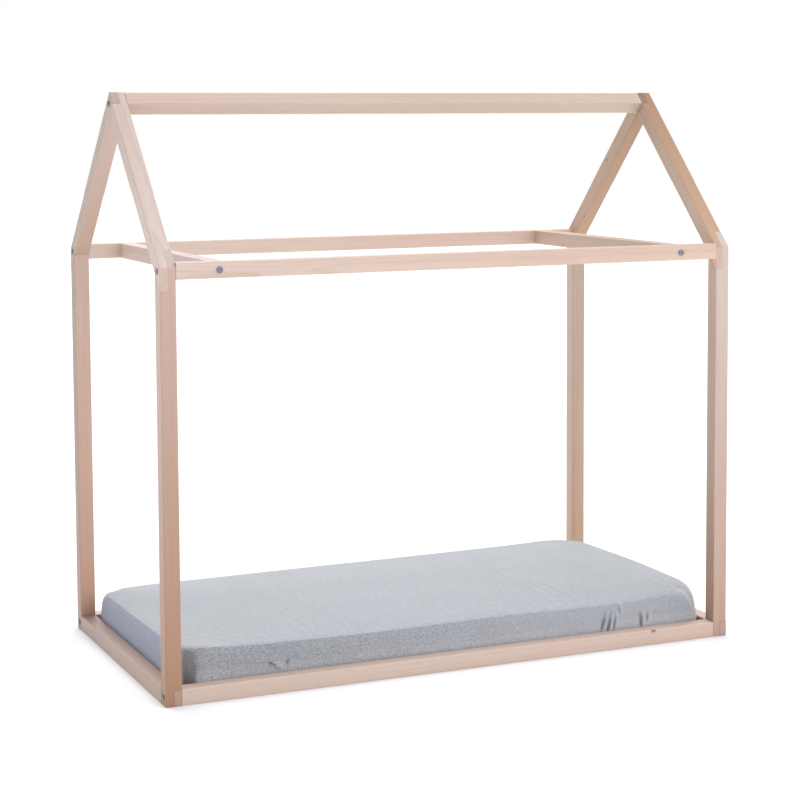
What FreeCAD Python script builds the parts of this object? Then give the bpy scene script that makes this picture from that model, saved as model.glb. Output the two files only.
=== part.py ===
import FreeCAD, Part
import math
import os

import Sketcher
from FreeCAD import Placement, Rotation, Vector

# A child's floor bed under an open house frame.  Two gable frames of square beech, half-lapped at
# every corner, are drawn together by long members: a ridge, two eaves rails and two side rails, each
# butted on the gables and held by a connector bolt with a barrel nut and a dowel.  Two cross bars tie
# the eaves rails.  Slats on ledger strips carry a foam mattress in a fitted sheet.
#
# Row frame: origin on the floor at the middle of the bed, +X along it to the right, -Y the front,
# +Z up.  Millimetres and degrees.

doc = FreeCAD.newDocument("house_frame_bed")

SIZES = {
    # mattress and bedding
    "mattress_length": 1400.0,
    "mattress_width": 700.0,
    "mattress_thickness": 100.0,
    "mattress_corner": 50.0,       # radius of the mattress's upright corners
    "mattress_play": 4.0,          # from the mattress to the rail, on each side
    "edge_height": 82.0,           # height of the side wall, where the crown starts
    "crown_reach": 95.0,           # how far in from the side the crown rises
    "underside_round": 8.0,
    "side_draw": 3.0,              # how far each side pulls in between its corners
    "cover_thickness": 2.0,
    "sheet_thickness": 1.2,
    "sheet_hem": 70.0,             # how far the sheet turns in under the mattress
    "elastic_width": 6.0,
    "cloth_play": 0.3,
    # house frame
    "member": 38.0,                # side of the square section that every frame member has
    "edge_round": 2.0,
    "post_height": 993.0,          # to the outer edge of the post's head
    "roof_pitch": 45.0,
    "eaves_rise": 10.0,            # top of the eaves rail above the outer edge of the post's head
    "cross_bar_inset": 83.0,       # clear gap between a gable and its cross bar
    # slatted base
    "ledger_raise": 1.0,
    "ledger_height": 10.0,
    "ledger_width": 20.0,
    "ledger_end_play": 4.0,
    "ledger_round": 1.0,
    "slat_thickness": 9.0,
    "slat_width": 65.0,
    "slat_count": 12,
    "slat_end_play": 3.0,
    "slat_round": 2.0,
    # connector bolt, barrel nut and dowel
    "bolt_diameter": 6.0,
    "bolt_length": 80.0,           # under the head
    "bolt_head_width": 15.0,
    "bolt_head_thickness": 2.6,
    "bolt_head_bevel": 0.8,
    "bolt_socket_width": 4.0,
    "bolt_socket_depth": 2.0,
    "bolt_play": 0.5,              # round the shank in the wood
    "thread_play": 0.05,
    "bolt_end_play": 2.0,
    "nut_diameter": 10.0,
    "nut_length": 14.0,
    "nut_setback": 36.0,           # from the member's end to the barrel nut's axis
    "nut_play": 0.2,
    "nut_slot_width": 1.6,
    "nut_slot_depth": 1.2,
    "dowel_diameter": 8.0,
    "dowel_length": 40.0,
    "dowel_bevel": 1.0,
    "dowel_seat": 14.0,            # how deep the dowel sits in the member that is crossed
    "dowel_offset": 10.5,          # from the bolt's axis to the dowel's axis
    "dowel_play": 0.05,
    "dowel_end_play": 0.5,
    # wood screws
    "screw_diameter": 3.5,
    "screw_head_width": 7.0,
    "screw_tip": 3.0,
    "screw_tip_width": 0.4,
    "screw_slot_length": 3.5,      # of each arm of the cross in the head
    "screw_slot_width": 0.9,
    "screw_slot_depth": 1.0,
    "screw_play": 0.05,
    "slat_screw_length": 17.0,
    "ledger_screw_length": 34.0,
    "ledger_screw_count": 6,
}

sheet = doc.addObject("Spreadsheet::Sheet", "Sizes")
for row, (alias, size) in enumerate(SIZES.items(), start=1):
    sheet.set(f"A{row}", alias.replace("_", " "))
    sheet.set(f"B{row}", str(size))
    sheet.setAlias(f"B{row}", alias)
doc.recompute()

# Worked-out sizes, each an expression over the sheet's cells.
MEMBER = "Sizes.member"
HALF = "(Sizes.member / 2)"
INNER_LENGTH = "(Sizes.mattress_length + 2 * Sizes.mattress_play)"
INNER_WIDTH = "(Sizes.mattress_width + 2 * Sizes.mattress_play)"
LENGTH = f"({INNER_LENGTH} + 2 * {MEMBER})"
HALF_WIDTH = f"({INNER_WIDTH} / 2 + {MEMBER})"
SLOPE = "tan(Sizes.roof_pitch)"
PLUMB = f"({MEMBER} / cos(Sizes.roof_pitch))"            # a rafter's depth, measured straight down
APEX = f"(Sizes.post_height + {HALF_WIDTH} * {SLOPE})"
GABLE_X = f"(({LENGTH} - {MEMBER}) / 2)"                 # mid-plane of a gable, where its laps meet
EAVES_BASE = f"(Sizes.post_height + Sizes.eaves_rise - {MEMBER})"
EAVES_BOLT = f"({EAVES_BASE} + {HALF})"
RIDGE_BOLT = f"({APEX} - {PLUMB} / 2)"
POST_BOLT = f"({HALF_WIDTH} - {HALF})"
POST_DOWEL = f"({POST_BOLT} - Sizes.dowel_offset)"
RIDGE_DOWEL = f"({RIDGE_BOLT} + Sizes.dowel_offset)"
CROSS_X = f"({INNER_LENGTH} / 2 - Sizes.cross_bar_inset - {HALF})"
BOLT_HOLE = "(Sizes.bolt_diameter + 2 * Sizes.bolt_play)"
DOWEL_HOLE = "(Sizes.dowel_diameter + 2 * Sizes.dowel_play)"
DOWEL_SEAT_HOLE = "(Sizes.dowel_seat + Sizes.dowel_end_play)"
DOWEL_END_HOLE = "(Sizes.dowel_length - Sizes.dowel_seat + Sizes.dowel_end_play)"
SCREW_HOLE = "(Sizes.screw_diameter + 2 * Sizes.screw_play)"
SCREW_SINK = "(Sizes.screw_head_width + 2 * Sizes.screw_play)"
LEDGER_TOP = "(Sizes.ledger_raise + Sizes.ledger_height)"
LEDGER_LENGTH = f"({INNER_LENGTH} - 2 * Sizes.ledger_end_play)"
LEDGER_Y = f"({INNER_WIDTH} / 2 - Sizes.ledger_width / 2)"
SLAT_TOP = f"({LEDGER_TOP} + Sizes.slat_thickness)"
SLAT_GAP = f"(({INNER_LENGTH} - Sizes.slat_count * Sizes.slat_width) / (Sizes.slat_count + 1))"
SLAT_PITCH = f"(Sizes.slat_width + {SLAT_GAP})"

FRONT, BACK = -1, 1
LEFT, RIGHT = -1, 1
SIDE_NAMES = {FRONT: "front", BACK: "back"}
END_NAMES = {LEFT: "left", RIGHT: "right"}

SINK_ANGLE = 90.0               # whole angle of a countersink, and of the screw's head in it
STRAIGHT_DRAW = 0.001           # draw of a side arc that stands for a straight side
ROUND_STEPS = 3                 # outlines over the quarter turn of the mattress's underside
CROWN_STEPS = 6                 # outlines over the rise of its crown
CORNER_GAIN = 1 / 3             # how much a corner's radius grows for each unit that the crown goes in

NODES = []


def value(expression):
    """Return an expression's number."""
    return float(sheet.evalExpression(expression))


def read(alias):
    """Return one cell's number."""
    return float(sheet.get(alias))


def place(item, x="0", y="0", z="0", axis="1; 0; 0", angle="0"):
    """Bind an object's place, and its turn about an axis, to expressions."""
    item.setExpression(
        "Placement", f"placement(vector({x}; {y}; {z}); rotation(vector({axis}); {angle}))"
    )


def node(item, label):
    """Name an object as one sub-part."""
    item.Label = label
    NODES.append(item)
    return item


# ---------------------------------------------------------------- sketches and features

def new_sketch(body, role, offset):
    """Add an empty sketch on one of the body's origin planes, moved along the plane's normal."""
    sketch = body.newObject("Sketcher::SketchObject", "Sketch")
    plane = next(item for item in body.Origin.OriginFeatures if item.Role == role)
    sketch.AttachmentSupport = (plane, "")
    sketch.MapMode = "FlatFace"
    sketch.setExpression("AttachmentOffset", f"placement(vector(0; 0; {offset}); rotation(0; 0; 0))")
    return sketch


def bind_point(sketch, curve, end, at):
    """Hold one point of a curve at a pair of expressions."""
    for kind, expression in zip(("DistanceX", "DistanceY"), at):
        number = sketch.addConstraint(Sketcher.Constraint(kind, -1, 1, curve, end, value(expression)))
        sketch.setExpression(f"Constraints[{number}]", expression)


def polygon(body, role, corners, offset="0"):
    """Sketch a closed outline through corners given as pairs of expressions."""
    sketch = new_sketch(body, role, offset)
    points = [Vector(value(x), value(y), 0) for x, y in corners]
    count = len(points)
    for index, start in enumerate(points):
        sketch.addGeometry(Part.LineSegment(start, points[(index + 1) % count]), False)
    for index in range(count):
        sketch.addConstraint(Sketcher.Constraint("Coincident", index, 2, (index + 1) % count, 1))
        bind_point(sketch, index, 1, corners[index])
    return sketch


def circles(body, role, centres, diameter, offset="0"):
    """Sketch equal circles, each centred at a pair of expressions."""
    sketch = new_sketch(body, role, offset)
    for index, centre in enumerate(centres):
        middle = Vector(value(centre[0]), value(centre[1]), 0)
        sketch.addGeometry(Part.Circle(middle, Vector(0, 0, 1), value(diameter) / 2), False)
        bind_point(sketch, index, 3, centre)
        number = sketch.addConstraint(Sketcher.Constraint("Diameter", index, value(diameter)))
        sketch.setExpression(f"Constraints[{number}]", diameter)
    return sketch


def pad(body, sketch, length):
    """Pad a sketch by the same amount to both sides of its plane."""
    feature = body.newObject("PartDesign::Pad", "Pad")
    feature.Profile = sketch
    feature.SideType = "Symmetric"
    feature.setExpression("Length", length)
    doc.recompute()
    return feature


def pocket(body, sketch, depth, forward=False, both=False):
    """Cut a sketch into the body: along its normal when forward, against it otherwise."""
    before = body.Shape.Volume
    feature = body.newObject("PartDesign::Pocket", "Pocket")
    feature.Profile = sketch
    feature.SideType = "Symmetric" if both else "One side"
    feature.Reversed = forward
    feature.setExpression("Length", depth)
    doc.recompute()
    if body.Shape.Volume >= before:
        raise RuntimeError(f"{body.Label}: a pocket cuts nothing")
    return feature


def round_edges(body, base, along, radius):
    """Round the base feature's straight edges that run along a direction."""
    names = []
    for number, edge in enumerate(base.Shape.Edges, start=1):
        run = edge.Vertexes[-1].Point - edge.Vertexes[0].Point
        if abs(run.dot(along)) > (1 - 1e-6) * run.Length:
            names.append(f"Edge{number}")
    feature = body.newObject("PartDesign::Fillet", "Fillet")
    feature.Base = (base, names)
    feature.setExpression("Radius", radius)
    doc.recompute()


def new_body(label):
    """Add a body that is one sub-part."""
    return node(doc.addObject("PartDesign::Body", label), label)


# ---------------------------------------------------------------- gable frames
# A gable's pieces are drawn on its mid-plane, x = 0, where their half-laps meet.  In each lap one
# piece keeps the half towards +X and the other the half towards -X, alike in both gables.

def cut_lap(body, corners, towards):
    """Cut away the half of a piece that lies towards +X (1) or -X (-1) inside an outline."""
    pocket(body, polygon(body, "YZ_Plane", corners), MEMBER, forward=towards > 0)


def drill_bolts(body, centres):
    """Drill clearance holes for the connector bolts right through a gable piece."""
    pocket(body, circles(body, "YZ_Plane", centres, BOLT_HOLE), f"2 * {MEMBER}", both=True)


def seat_dowels(body, centres, end):
    """Bore blind dowel seats from the gable's inner face."""
    face = f"{-end} * {HALF}"
    sketch = circles(body, "YZ_Plane", centres, DOWEL_HOLE, face)
    pocket(body, sketch, DOWEL_SEAT_HOLE, forward=end > 0)


def post(end, side):
    """Square post: its foot laps the end rail, and its head laps the rafter under the slope."""
    body = new_body(f"{END_NAMES[end]}_{SIDE_NAMES[side]}_post")

    def at(depth, height):
        """A point at a depth in from the outer face."""
        return f"{side} * ({HALF_WIDTH} - {depth})", height

    blank = polygon(body, "YZ_Plane", [
        at("0", "0"),
        at(MEMBER, "0"),
        at(MEMBER, f"Sizes.post_height + {MEMBER} * {SLOPE}"),
        at("0", "Sizes.post_height"),
    ])
    round_edges(body, pad(body, blank, MEMBER), Vector(0, 0, 1), "Sizes.edge_round")
    cut_lap(body, [
        at(f"-{MEMBER}", f"-{MEMBER}"),
        at(f"2 * {MEMBER}", f"-{MEMBER}"),
        at(f"2 * {MEMBER}", MEMBER),
        at(f"-{MEMBER}", MEMBER),
    ], towards=1)
    seat = f"Sizes.post_height - {PLUMB}"
    cut_lap(body, [
        at(f"-{MEMBER}", f"{seat} - {MEMBER} * {SLOPE}"),
        at(f"2 * {MEMBER}", f"{seat} + 2 * {MEMBER} * {SLOPE}"),
        at(f"2 * {MEMBER}", f"{seat} + 2 * {MEMBER} * {SLOPE} + 2 * {PLUMB}"),
        at(f"-{MEMBER}", f"{seat} + 2 * {MEMBER} * {SLOPE} + 2 * {PLUMB}"),
    ], towards=-1)
    drill_bolts(body, [at(HALF, HALF), at(HALF, EAVES_BOLT)])
    dowel_height = EAVES_BOLT if end == LEFT else HALF
    seat_dowels(body, [(f"{side} * {POST_DOWEL}", dowel_height)], end)
    place(body, x=f"{end} * {GABLE_X}")


def rafter(end, side):
    """Sloping rafter: it laps the post at the eaves and the other rafter at the apex."""
    body = new_body(f"{END_NAMES[end]}_{SIDE_NAMES[side]}_rafter")

    def at(out, height):
        """A point at a distance out from the bed's middle, towards this rafter's own side."""
        return f"{side} * ({out})", height

    half_lap = f"({PLUMB} / (2 * {SLOPE}))"
    blank = polygon(body, "YZ_Plane", [
        at(HALF_WIDTH, "Sizes.post_height"),
        at("0", APEX),
        at(f"-{half_lap}", f"{APEX} - {PLUMB} / 2"),
        at(HALF_WIDTH, f"Sizes.post_height - {PLUMB}"),
    ])
    pitch = math.radians(read("roof_pitch"))
    run = Vector(0, side * math.cos(pitch), -math.sin(pitch))
    round_edges(body, pad(body, blank, MEMBER), run, "Sizes.edge_round")
    cut_lap(body, [
        at(f"{HALF_WIDTH} + {MEMBER}", f"Sizes.post_height - 2 * {PLUMB}"),
        at(f"{HALF_WIDTH} - {MEMBER}", f"Sizes.post_height - 2 * {PLUMB}"),
        at(f"{HALF_WIDTH} - {MEMBER}", f"Sizes.post_height + {PLUMB} + {MEMBER} * {SLOPE}"),
        at(f"{HALF_WIDTH} + {MEMBER}", f"Sizes.post_height + {PLUMB} + {MEMBER} * {SLOPE}"),
    ], towards=1)
    cut_lap(body, [
        at(f"-2 * {half_lap}", f"{APEX} - 2 * {PLUMB}"),
        at(f"2 * {half_lap}", APEX),
        at(f"2 * {half_lap}", f"{APEX} + {PLUMB}"),
        at(f"-2 * {half_lap}", f"{APEX} + {PLUMB}"),
    ], towards=side)
    drill_bolts(body, [at(POST_BOLT, EAVES_BOLT), at("0", RIDGE_BOLT)])
    seats = []
    if end == RIGHT:
        seats.append(at(POST_DOWEL, EAVES_BOLT))
    if side == end:
        seats.append(at("0", RIDGE_DOWEL))
    if seats:
        seat_dowels(body, seats, end)
    place(body, x=f"{end} * {GABLE_X}")


def end_rail(end):
    """Bottom rail of a gable; its end grain passes the posts' feet on the +X half."""
    body = new_body(f"{END_NAMES[end]}_end_rail")
    blank = polygon(body, "YZ_Plane", [
        (f"-{HALF_WIDTH}", "0"),
        (HALF_WIDTH, "0"),
        (HALF_WIDTH, MEMBER),
        (f"-{HALF_WIDTH}", MEMBER),
    ])
    round_edges(body, pad(body, blank, MEMBER), Vector(0, 1, 0), "Sizes.edge_round")
    for side in (FRONT, BACK):
        cut_lap(body, [
            (f"{side} * ({HALF_WIDTH} + {MEMBER})", f"-{MEMBER}"),
            (f"{side} * ({HALF_WIDTH} - {MEMBER})", f"-{MEMBER}"),
            (f"{side} * ({HALF_WIDTH} - {MEMBER})", f"2 * {MEMBER}"),
            (f"{side} * ({HALF_WIDTH} + {MEMBER})", f"2 * {MEMBER}"),
        ], towards=-1)
    drill_bolts(body, [(f"{side} * {POST_BOLT}", HALF) for side in (FRONT, BACK)])
    if end == LEFT:
        seat_dowels(body, [(f"{side} * {POST_DOWEL}", HALF) for side in (FRONT, BACK)], end)
    place(body, x=f"{end} * {GABLE_X}")


# ---------------------------------------------------------------- long members
# A long member is drawn along X about x = 0, with its underside on z = 0.  Both ends are bored
# for a bolt and a dowel, and from the underside for the barrel nut.

SQUARE = [(f"-{HALF}", "0"), (HALF, "0"), (HALF, MEMBER), (f"-{HALF}", MEMBER)]


def mirror_ends(body, bores):
    """Repeat the bores of one end at the other end."""
    feature = body.newObject("PartDesign::Mirrored", "Mirrored")
    plane = next(item for item in body.Origin.OriginFeatures if item.Role == "YZ_Plane")
    feature.MirrorPlane = (plane, [""])
    feature.Originals = bores
    body.Tip = feature
    doc.recompute()


def long_member(label, length, section, bolt_at, dowel_at):
    """Square-section member with both ends bored."""
    body = new_body(label)
    round_edges(body, pad(body, polygon(body, "YZ_Plane", section), length), Vector(1, 0, 0),
                "Sizes.edge_round")
    end_face = f"{length} / 2"
    bolt_depth = f"Sizes.bolt_length - {MEMBER} + Sizes.bolt_end_play"
    nut_x = f"{length} / 2 - Sizes.nut_setback"
    nut_depth = f"{bolt_at[1]} + Sizes.nut_length / 2 + Sizes.nut_play"
    nut_hole = "Sizes.nut_diameter + 2 * Sizes.nut_play"
    bores = [
        pocket(body, circles(body, "YZ_Plane", [bolt_at], BOLT_HOLE, end_face), bolt_depth),
        pocket(body, circles(body, "YZ_Plane", [dowel_at], DOWEL_HOLE, end_face), DOWEL_END_HOLE),
        pocket(body, circles(body, "XY_Plane", [(nut_x, bolt_at[0])], nut_hole), nut_depth,
               forward=True),
    ]
    mirror_ends(body, bores)
    return body


def bore_inner_face(body, side, centres, diameter, depth):
    """Bore blind holes into the face of a front or back member that looks into the bed."""
    sketch = circles(body, "XZ_Plane", centres, diameter, f"{side} * {HALF}")
    pocket(body, sketch, depth, forward=side == FRONT)


def side_rail(side):
    """Bottom rail along the bed, with pilot holes for its ledger's screws."""
    body = long_member(f"{SIDE_NAMES[side]}_side_rail", INNER_LENGTH, SQUARE,
                       ("0", HALF), (f"{-side} * Sizes.dowel_offset", HALF))
    height = "Sizes.ledger_raise + Sizes.ledger_height / 2"
    depth = "Sizes.ledger_screw_length - Sizes.ledger_width + Sizes.dowel_end_play"
    bore_inner_face(body, side, [(x, height) for x in ledger_screw_places()], SCREW_HOLE, depth)
    place(body, y=f"{side} * {POST_BOLT}")


def eaves_rail(side):
    """Rail between the post heads, crossed by the bolts of both cross bars."""
    body = long_member(f"{SIDE_NAMES[side]}_eaves_rail", INNER_LENGTH, SQUARE,
                       ("0", HALF), (f"{-side} * Sizes.dowel_offset", HALF))
    bolts = [(f"{end} * {CROSS_X}", HALF) for end in (LEFT, RIGHT)]
    pocket(body, circles(body, "XZ_Plane", bolts, BOLT_HOLE), f"2 * {MEMBER}", both=True)
    dowels = [(f"{end} * ({CROSS_X} - Sizes.dowel_offset)", HALF) for end in (LEFT, RIGHT)]
    bore_inner_face(body, side, dowels, DOWEL_HOLE, DOWEL_SEAT_HOLE)
    place(body, y=f"{side} * {POST_BOLT}", z=EAVES_BASE)


def cross_bar(end):
    """Bar between the eaves rails, set in from the gable."""
    body = long_member(f"{END_NAMES[end]}_cross_bar", INNER_WIDTH, SQUARE,
                       ("0", HALF), (f"{end} * Sizes.dowel_offset", HALF))
    place(body, x=f"{end} * {CROSS_X}", z=EAVES_BASE, axis="0; 0; 1", angle="90")


def ridge_beam():
    """Ridge whose two upper faces lie in the planes of the roof.

    It is drawn turned by the pitch, so that its lower face towards the back lies on z = 0.
    """
    slant = f"({MEMBER} / sin(2 * Sizes.roof_pitch))"
    shift = f"({slant} * cos(2 * Sizes.roof_pitch))"
    section = [
        (f"{shift} - {slant}", "0"),
        (shift, "0"),
        ("0", MEMBER),
        (f"-{slant}", MEMBER),
    ]
    middle = (f"-{HALF} * {SLOPE}", HALF)
    dowel = (f"{middle[0]} + Sizes.dowel_offset * sin(Sizes.roof_pitch)",
             f"{HALF} + Sizes.dowel_offset * cos(Sizes.roof_pitch)")
    body = long_member("ridge_beam", INNER_LENGTH, section, middle, dowel)
    place(body, y=f"{MEMBER} * sin(Sizes.roof_pitch)",
          z=f"{APEX} - {MEMBER} * cos(Sizes.roof_pitch)", angle="Sizes.roof_pitch")


# ---------------------------------------------------------------- slatted base

def slat_x(number):
    """Middle of a slat, counted from 0 at the left."""
    return f"-{INNER_LENGTH} / 2 + {SLAT_PITCH} * {number + 1} - Sizes.slat_width / 2"


def ledger_screw_places():
    """Places along a ledger for its screws, each under the middle of a gap between slats."""
    gaps = int(read("slat_count")) - 1
    count = int(read("ledger_screw_count"))
    steps = [round(index * (gaps - 1) / (count - 1)) for index in range(count)]
    return [f"{slat_x(step)} + {SLAT_PITCH} / 2" for step in steps]


def ledger(side):
    """Strip screwed to the inside of a side rail, to carry the slats' ends."""
    body = new_body(f"{SIDE_NAMES[side]}_slat_ledger")
    half = "Sizes.ledger_width / 2"
    outline = [(f"-{half}", "0"), (half, "0"), (half, "Sizes.ledger_height"),
               (f"-{half}", "Sizes.ledger_height")]
    round_edges(body, pad(body, polygon(body, "YZ_Plane", outline), LEDGER_LENGTH),
                Vector(1, 0, 0), "Sizes.ledger_round")
    slats = [(slat_x(number), "0") for number in range(int(read("slat_count")))]
    grip = "Sizes.slat_screw_length - Sizes.slat_thickness + Sizes.dowel_end_play"
    pocket(body, circles(body, "XY_Plane", slats, SCREW_HOLE, "Sizes.ledger_height"), grip)
    screws = [(x, "Sizes.ledger_height / 2") for x in ledger_screw_places()]
    countersink(body, "XZ_Plane", screws, f"{side} * {half}", forward=side == FRONT)
    place(body, y=f"{side} * {LEDGER_Y}", z="Sizes.ledger_raise")


def countersink(body, role, centres, face, forward):
    """Drill screw holes with a countersunk mouth from a face that lies off an origin plane."""
    sketch = circles(body, role, centres, SCREW_HOLE, face)
    doc.recompute()
    feature = body.newObject("PartDesign::Hole", "Hole")
    feature.Profile = sketch
    doc.recompute()
    feature.ThreadType = "None"
    feature.DepthType = "ThroughAll"
    feature.Reversed = forward
    feature.setExpression("Diameter", SCREW_HOLE)
    feature.HoleCutType = "Countersink"
    feature.HoleCutCustomValues = True
    feature.setExpression("HoleCutDiameter", SCREW_SINK)
    feature.HoleCutCountersinkAngle = SINK_ANGLE
    doc.recompute()


def slat(number):
    """Cross slat, screwed to both ledgers."""
    body = new_body(f"slat_{number + 1:02d}")
    half_length = f"({INNER_WIDTH} / 2 - Sizes.slat_end_play)"
    half = "Sizes.slat_width / 2"
    outline = [(f"-{half}", "0"), (half, "0"), (half, "Sizes.slat_thickness"),
               (f"-{half}", "Sizes.slat_thickness")]
    blank = pad(body, polygon(body, "XZ_Plane", outline), f"2 * {half_length}")
    round_edges(body, blank, Vector(0, 1, 0), "Sizes.slat_round")
    screws = [("0", f"{side} * {LEDGER_Y}") for side in (FRONT, BACK)]
    countersink(body, "XY_Plane", screws, "Sizes.slat_thickness", forward=False)
    place(body, x=slat_x(number), z=LEDGER_TOP)


# ---------------------------------------------------------------- fasteners
# One fastener of each kind is drawn, and each set is a group of linked copies of it.

ALONG_X = Rotation(Vector(0, 1, 0), 90)


def primitive(kind, rotation=None, offset=("0", "0", "0"), **sizes):
    """Add a primitive with its sizes bound to expressions."""
    item = doc.addObject(f"Part::{kind}", kind)
    if rotation:
        item.Placement = Placement(Vector(), rotation)
    for name, expression in zip(("x", "y", "z"), offset):
        item.setExpression(f"Placement.Base.{name}", expression)
    for name, expression in sizes.items():
        item.setExpression(name, expression)
    return item


def fuse(parts):
    """Fuse primitives into one solid."""
    item = doc.addObject("Part::MultiFuse", "Fusion")
    item.Shapes = parts
    item.Refine = True
    return item


def cut(base, tool):
    """Cut one object from another."""
    item = doc.addObject("Part::Cut", "Cut")
    item.Base = base
    item.Tool = tool
    return item


def connector_bolt():
    """Flat-headed bolt along +X, with the underside of its head at x = 0."""
    head = "Sizes.bolt_head_width / 2"
    bevel = "Sizes.bolt_head_bevel"
    thickness = "Sizes.bolt_head_thickness"
    body = fuse([
        primitive("Cylinder", ALONG_X, Radius="Sizes.bolt_diameter / 2", Height="Sizes.bolt_length"),
        primitive("Cylinder", ALONG_X, (f"{bevel} - {thickness}", "0", "0"),
                  Radius=head, Height=f"{thickness} - {bevel}"),
        primitive("Cone", ALONG_X, (f"-{thickness}", "0", "0"),
                  Radius1=f"{head} - {bevel}", Radius2=head, Height=bevel),
    ])
    socket = primitive("Prism", ALONG_X, (f"-{thickness}", "0", "0"),
                       Circumradius="Sizes.bolt_socket_width / sqrt(3)",
                       Height="Sizes.bolt_socket_depth")
    socket.Polygon = 6
    return cut(body, socket)


def barrel_nut():
    """Cross dowel upright on Z, tapped along X, with a driver slot in its lower end."""
    half = "Sizes.nut_length / 2"
    barrel = primitive("Cylinder", offset=("0", "0", f"-{half}"),
                       Radius="Sizes.nut_diameter / 2", Height="Sizes.nut_length")
    thread = primitive("Cylinder", ALONG_X, ("-Sizes.nut_diameter", "0", "0"),
                       Radius="Sizes.bolt_diameter / 2 + Sizes.thread_play",
                       Height="2 * Sizes.nut_diameter")
    slot = primitive("Box", offset=("-Sizes.nut_diameter", "-Sizes.nut_slot_width / 2", f"-{half}"),
                     Length="2 * Sizes.nut_diameter", Width="Sizes.nut_slot_width",
                     Height="Sizes.nut_slot_depth")
    return cut(cut(barrel, thread), slot)


def dowel():
    """Wooden dowel along +X with both ends bevelled; x = 0 is the joint's face."""
    radius = "Sizes.dowel_diameter / 2"
    bevel = "Sizes.dowel_bevel"
    return fuse([
        primitive("Cone", ALONG_X, ("-Sizes.dowel_seat", "0", "0"),
                  Radius1=f"{radius} - {bevel}", Radius2=radius, Height=bevel),
        primitive("Cylinder", ALONG_X, (f"{bevel} - Sizes.dowel_seat", "0", "0"),
                  Radius=radius, Height=f"Sizes.dowel_length - 2 * {bevel}"),
        primitive("Cone", ALONG_X, (f"Sizes.dowel_length - Sizes.dowel_seat - {bevel}", "0", "0"),
                  Radius1=radius, Radius2=f"{radius} - {bevel}", Height=bevel),
    ])


def wood_screw(length):
    """Countersunk screw along +X, with the top of its head at x = 0."""
    head = "Sizes.screw_head_width / 2"
    radius = "Sizes.screw_diameter / 2"
    tip = "Sizes.screw_tip"
    sink = f"(({head} - {radius}) / tan({SINK_ANGLE / 2}))"
    body = fuse([
        primitive("Cone", ALONG_X, Radius1=head, Radius2=radius, Height=sink),
        primitive("Cylinder", ALONG_X, (sink, "0", "0"), Radius=radius,
                  Height=f"{length} - {sink} - {tip}"),
        primitive("Cone", ALONG_X, (f"{length} - {tip}", "0", "0"), Radius1=radius,
                  Radius2="Sizes.screw_tip_width / 2", Height=tip),
    ])
    arm, width, depth = (f"Sizes.screw_slot_{name}" for name in ("length", "width", "depth"))
    cross = fuse([
        primitive("Box", None, ("0", f"-{arm} / 2", f"-{width} / 2"), Length=depth,
                  Width=arm, Height=width),
        primitive("Box", None, ("0", f"-{width} / 2", f"-{arm} / 2"), Length=depth,
                  Width=width, Height=arm),
    ])
    return cut(body, cross)


def fastener_set(label, master, places):
    """Group linked copies of one fastener, each at its own place and turn."""
    copies = []
    for spot in places:
        copy = doc.addObject("App::Link", "Copy")
        copy.LinkedObject = master
        copy.LinkTransform = False
        place(copy, *spot)
        copies.append(copy)
    group = node(doc.addObject("Part::Compound", label), label)
    group.Links = copies


def gable_spots(end, face, dowels=False):
    """Places of the five bolts, nuts or dowels of a gable on a plane along X, pointing inwards."""
    side_y = POST_DOWEL if dowels else POST_BOLT
    ridge_z = RIDGE_DOWEL if dowels else RIDGE_BOLT
    turn = ("0; 0; 1", "0" if end == LEFT else "180")
    spots = [
        (f"{end} * ({face})", f"{side} * {side_y}", height, *turn)
        for side in (FRONT, BACK)
        for height in (HALF, EAVES_BOLT)
    ]
    return spots, (f"{end} * ({face})", "0", ridge_z, *turn)


def cross_spots(side, face, shift="0"):
    """Places of the two bolts, nuts or dowels of the cross bars' ends on a plane along Y."""
    angle = "90" if side == FRONT else "-90"
    return [
        (f"{end} * ({CROSS_X} - {shift})", f"{side} * ({face})", EAVES_BOLT, "0; 0; 1", angle)
        for end in (LEFT, RIGHT)
    ]


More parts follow.
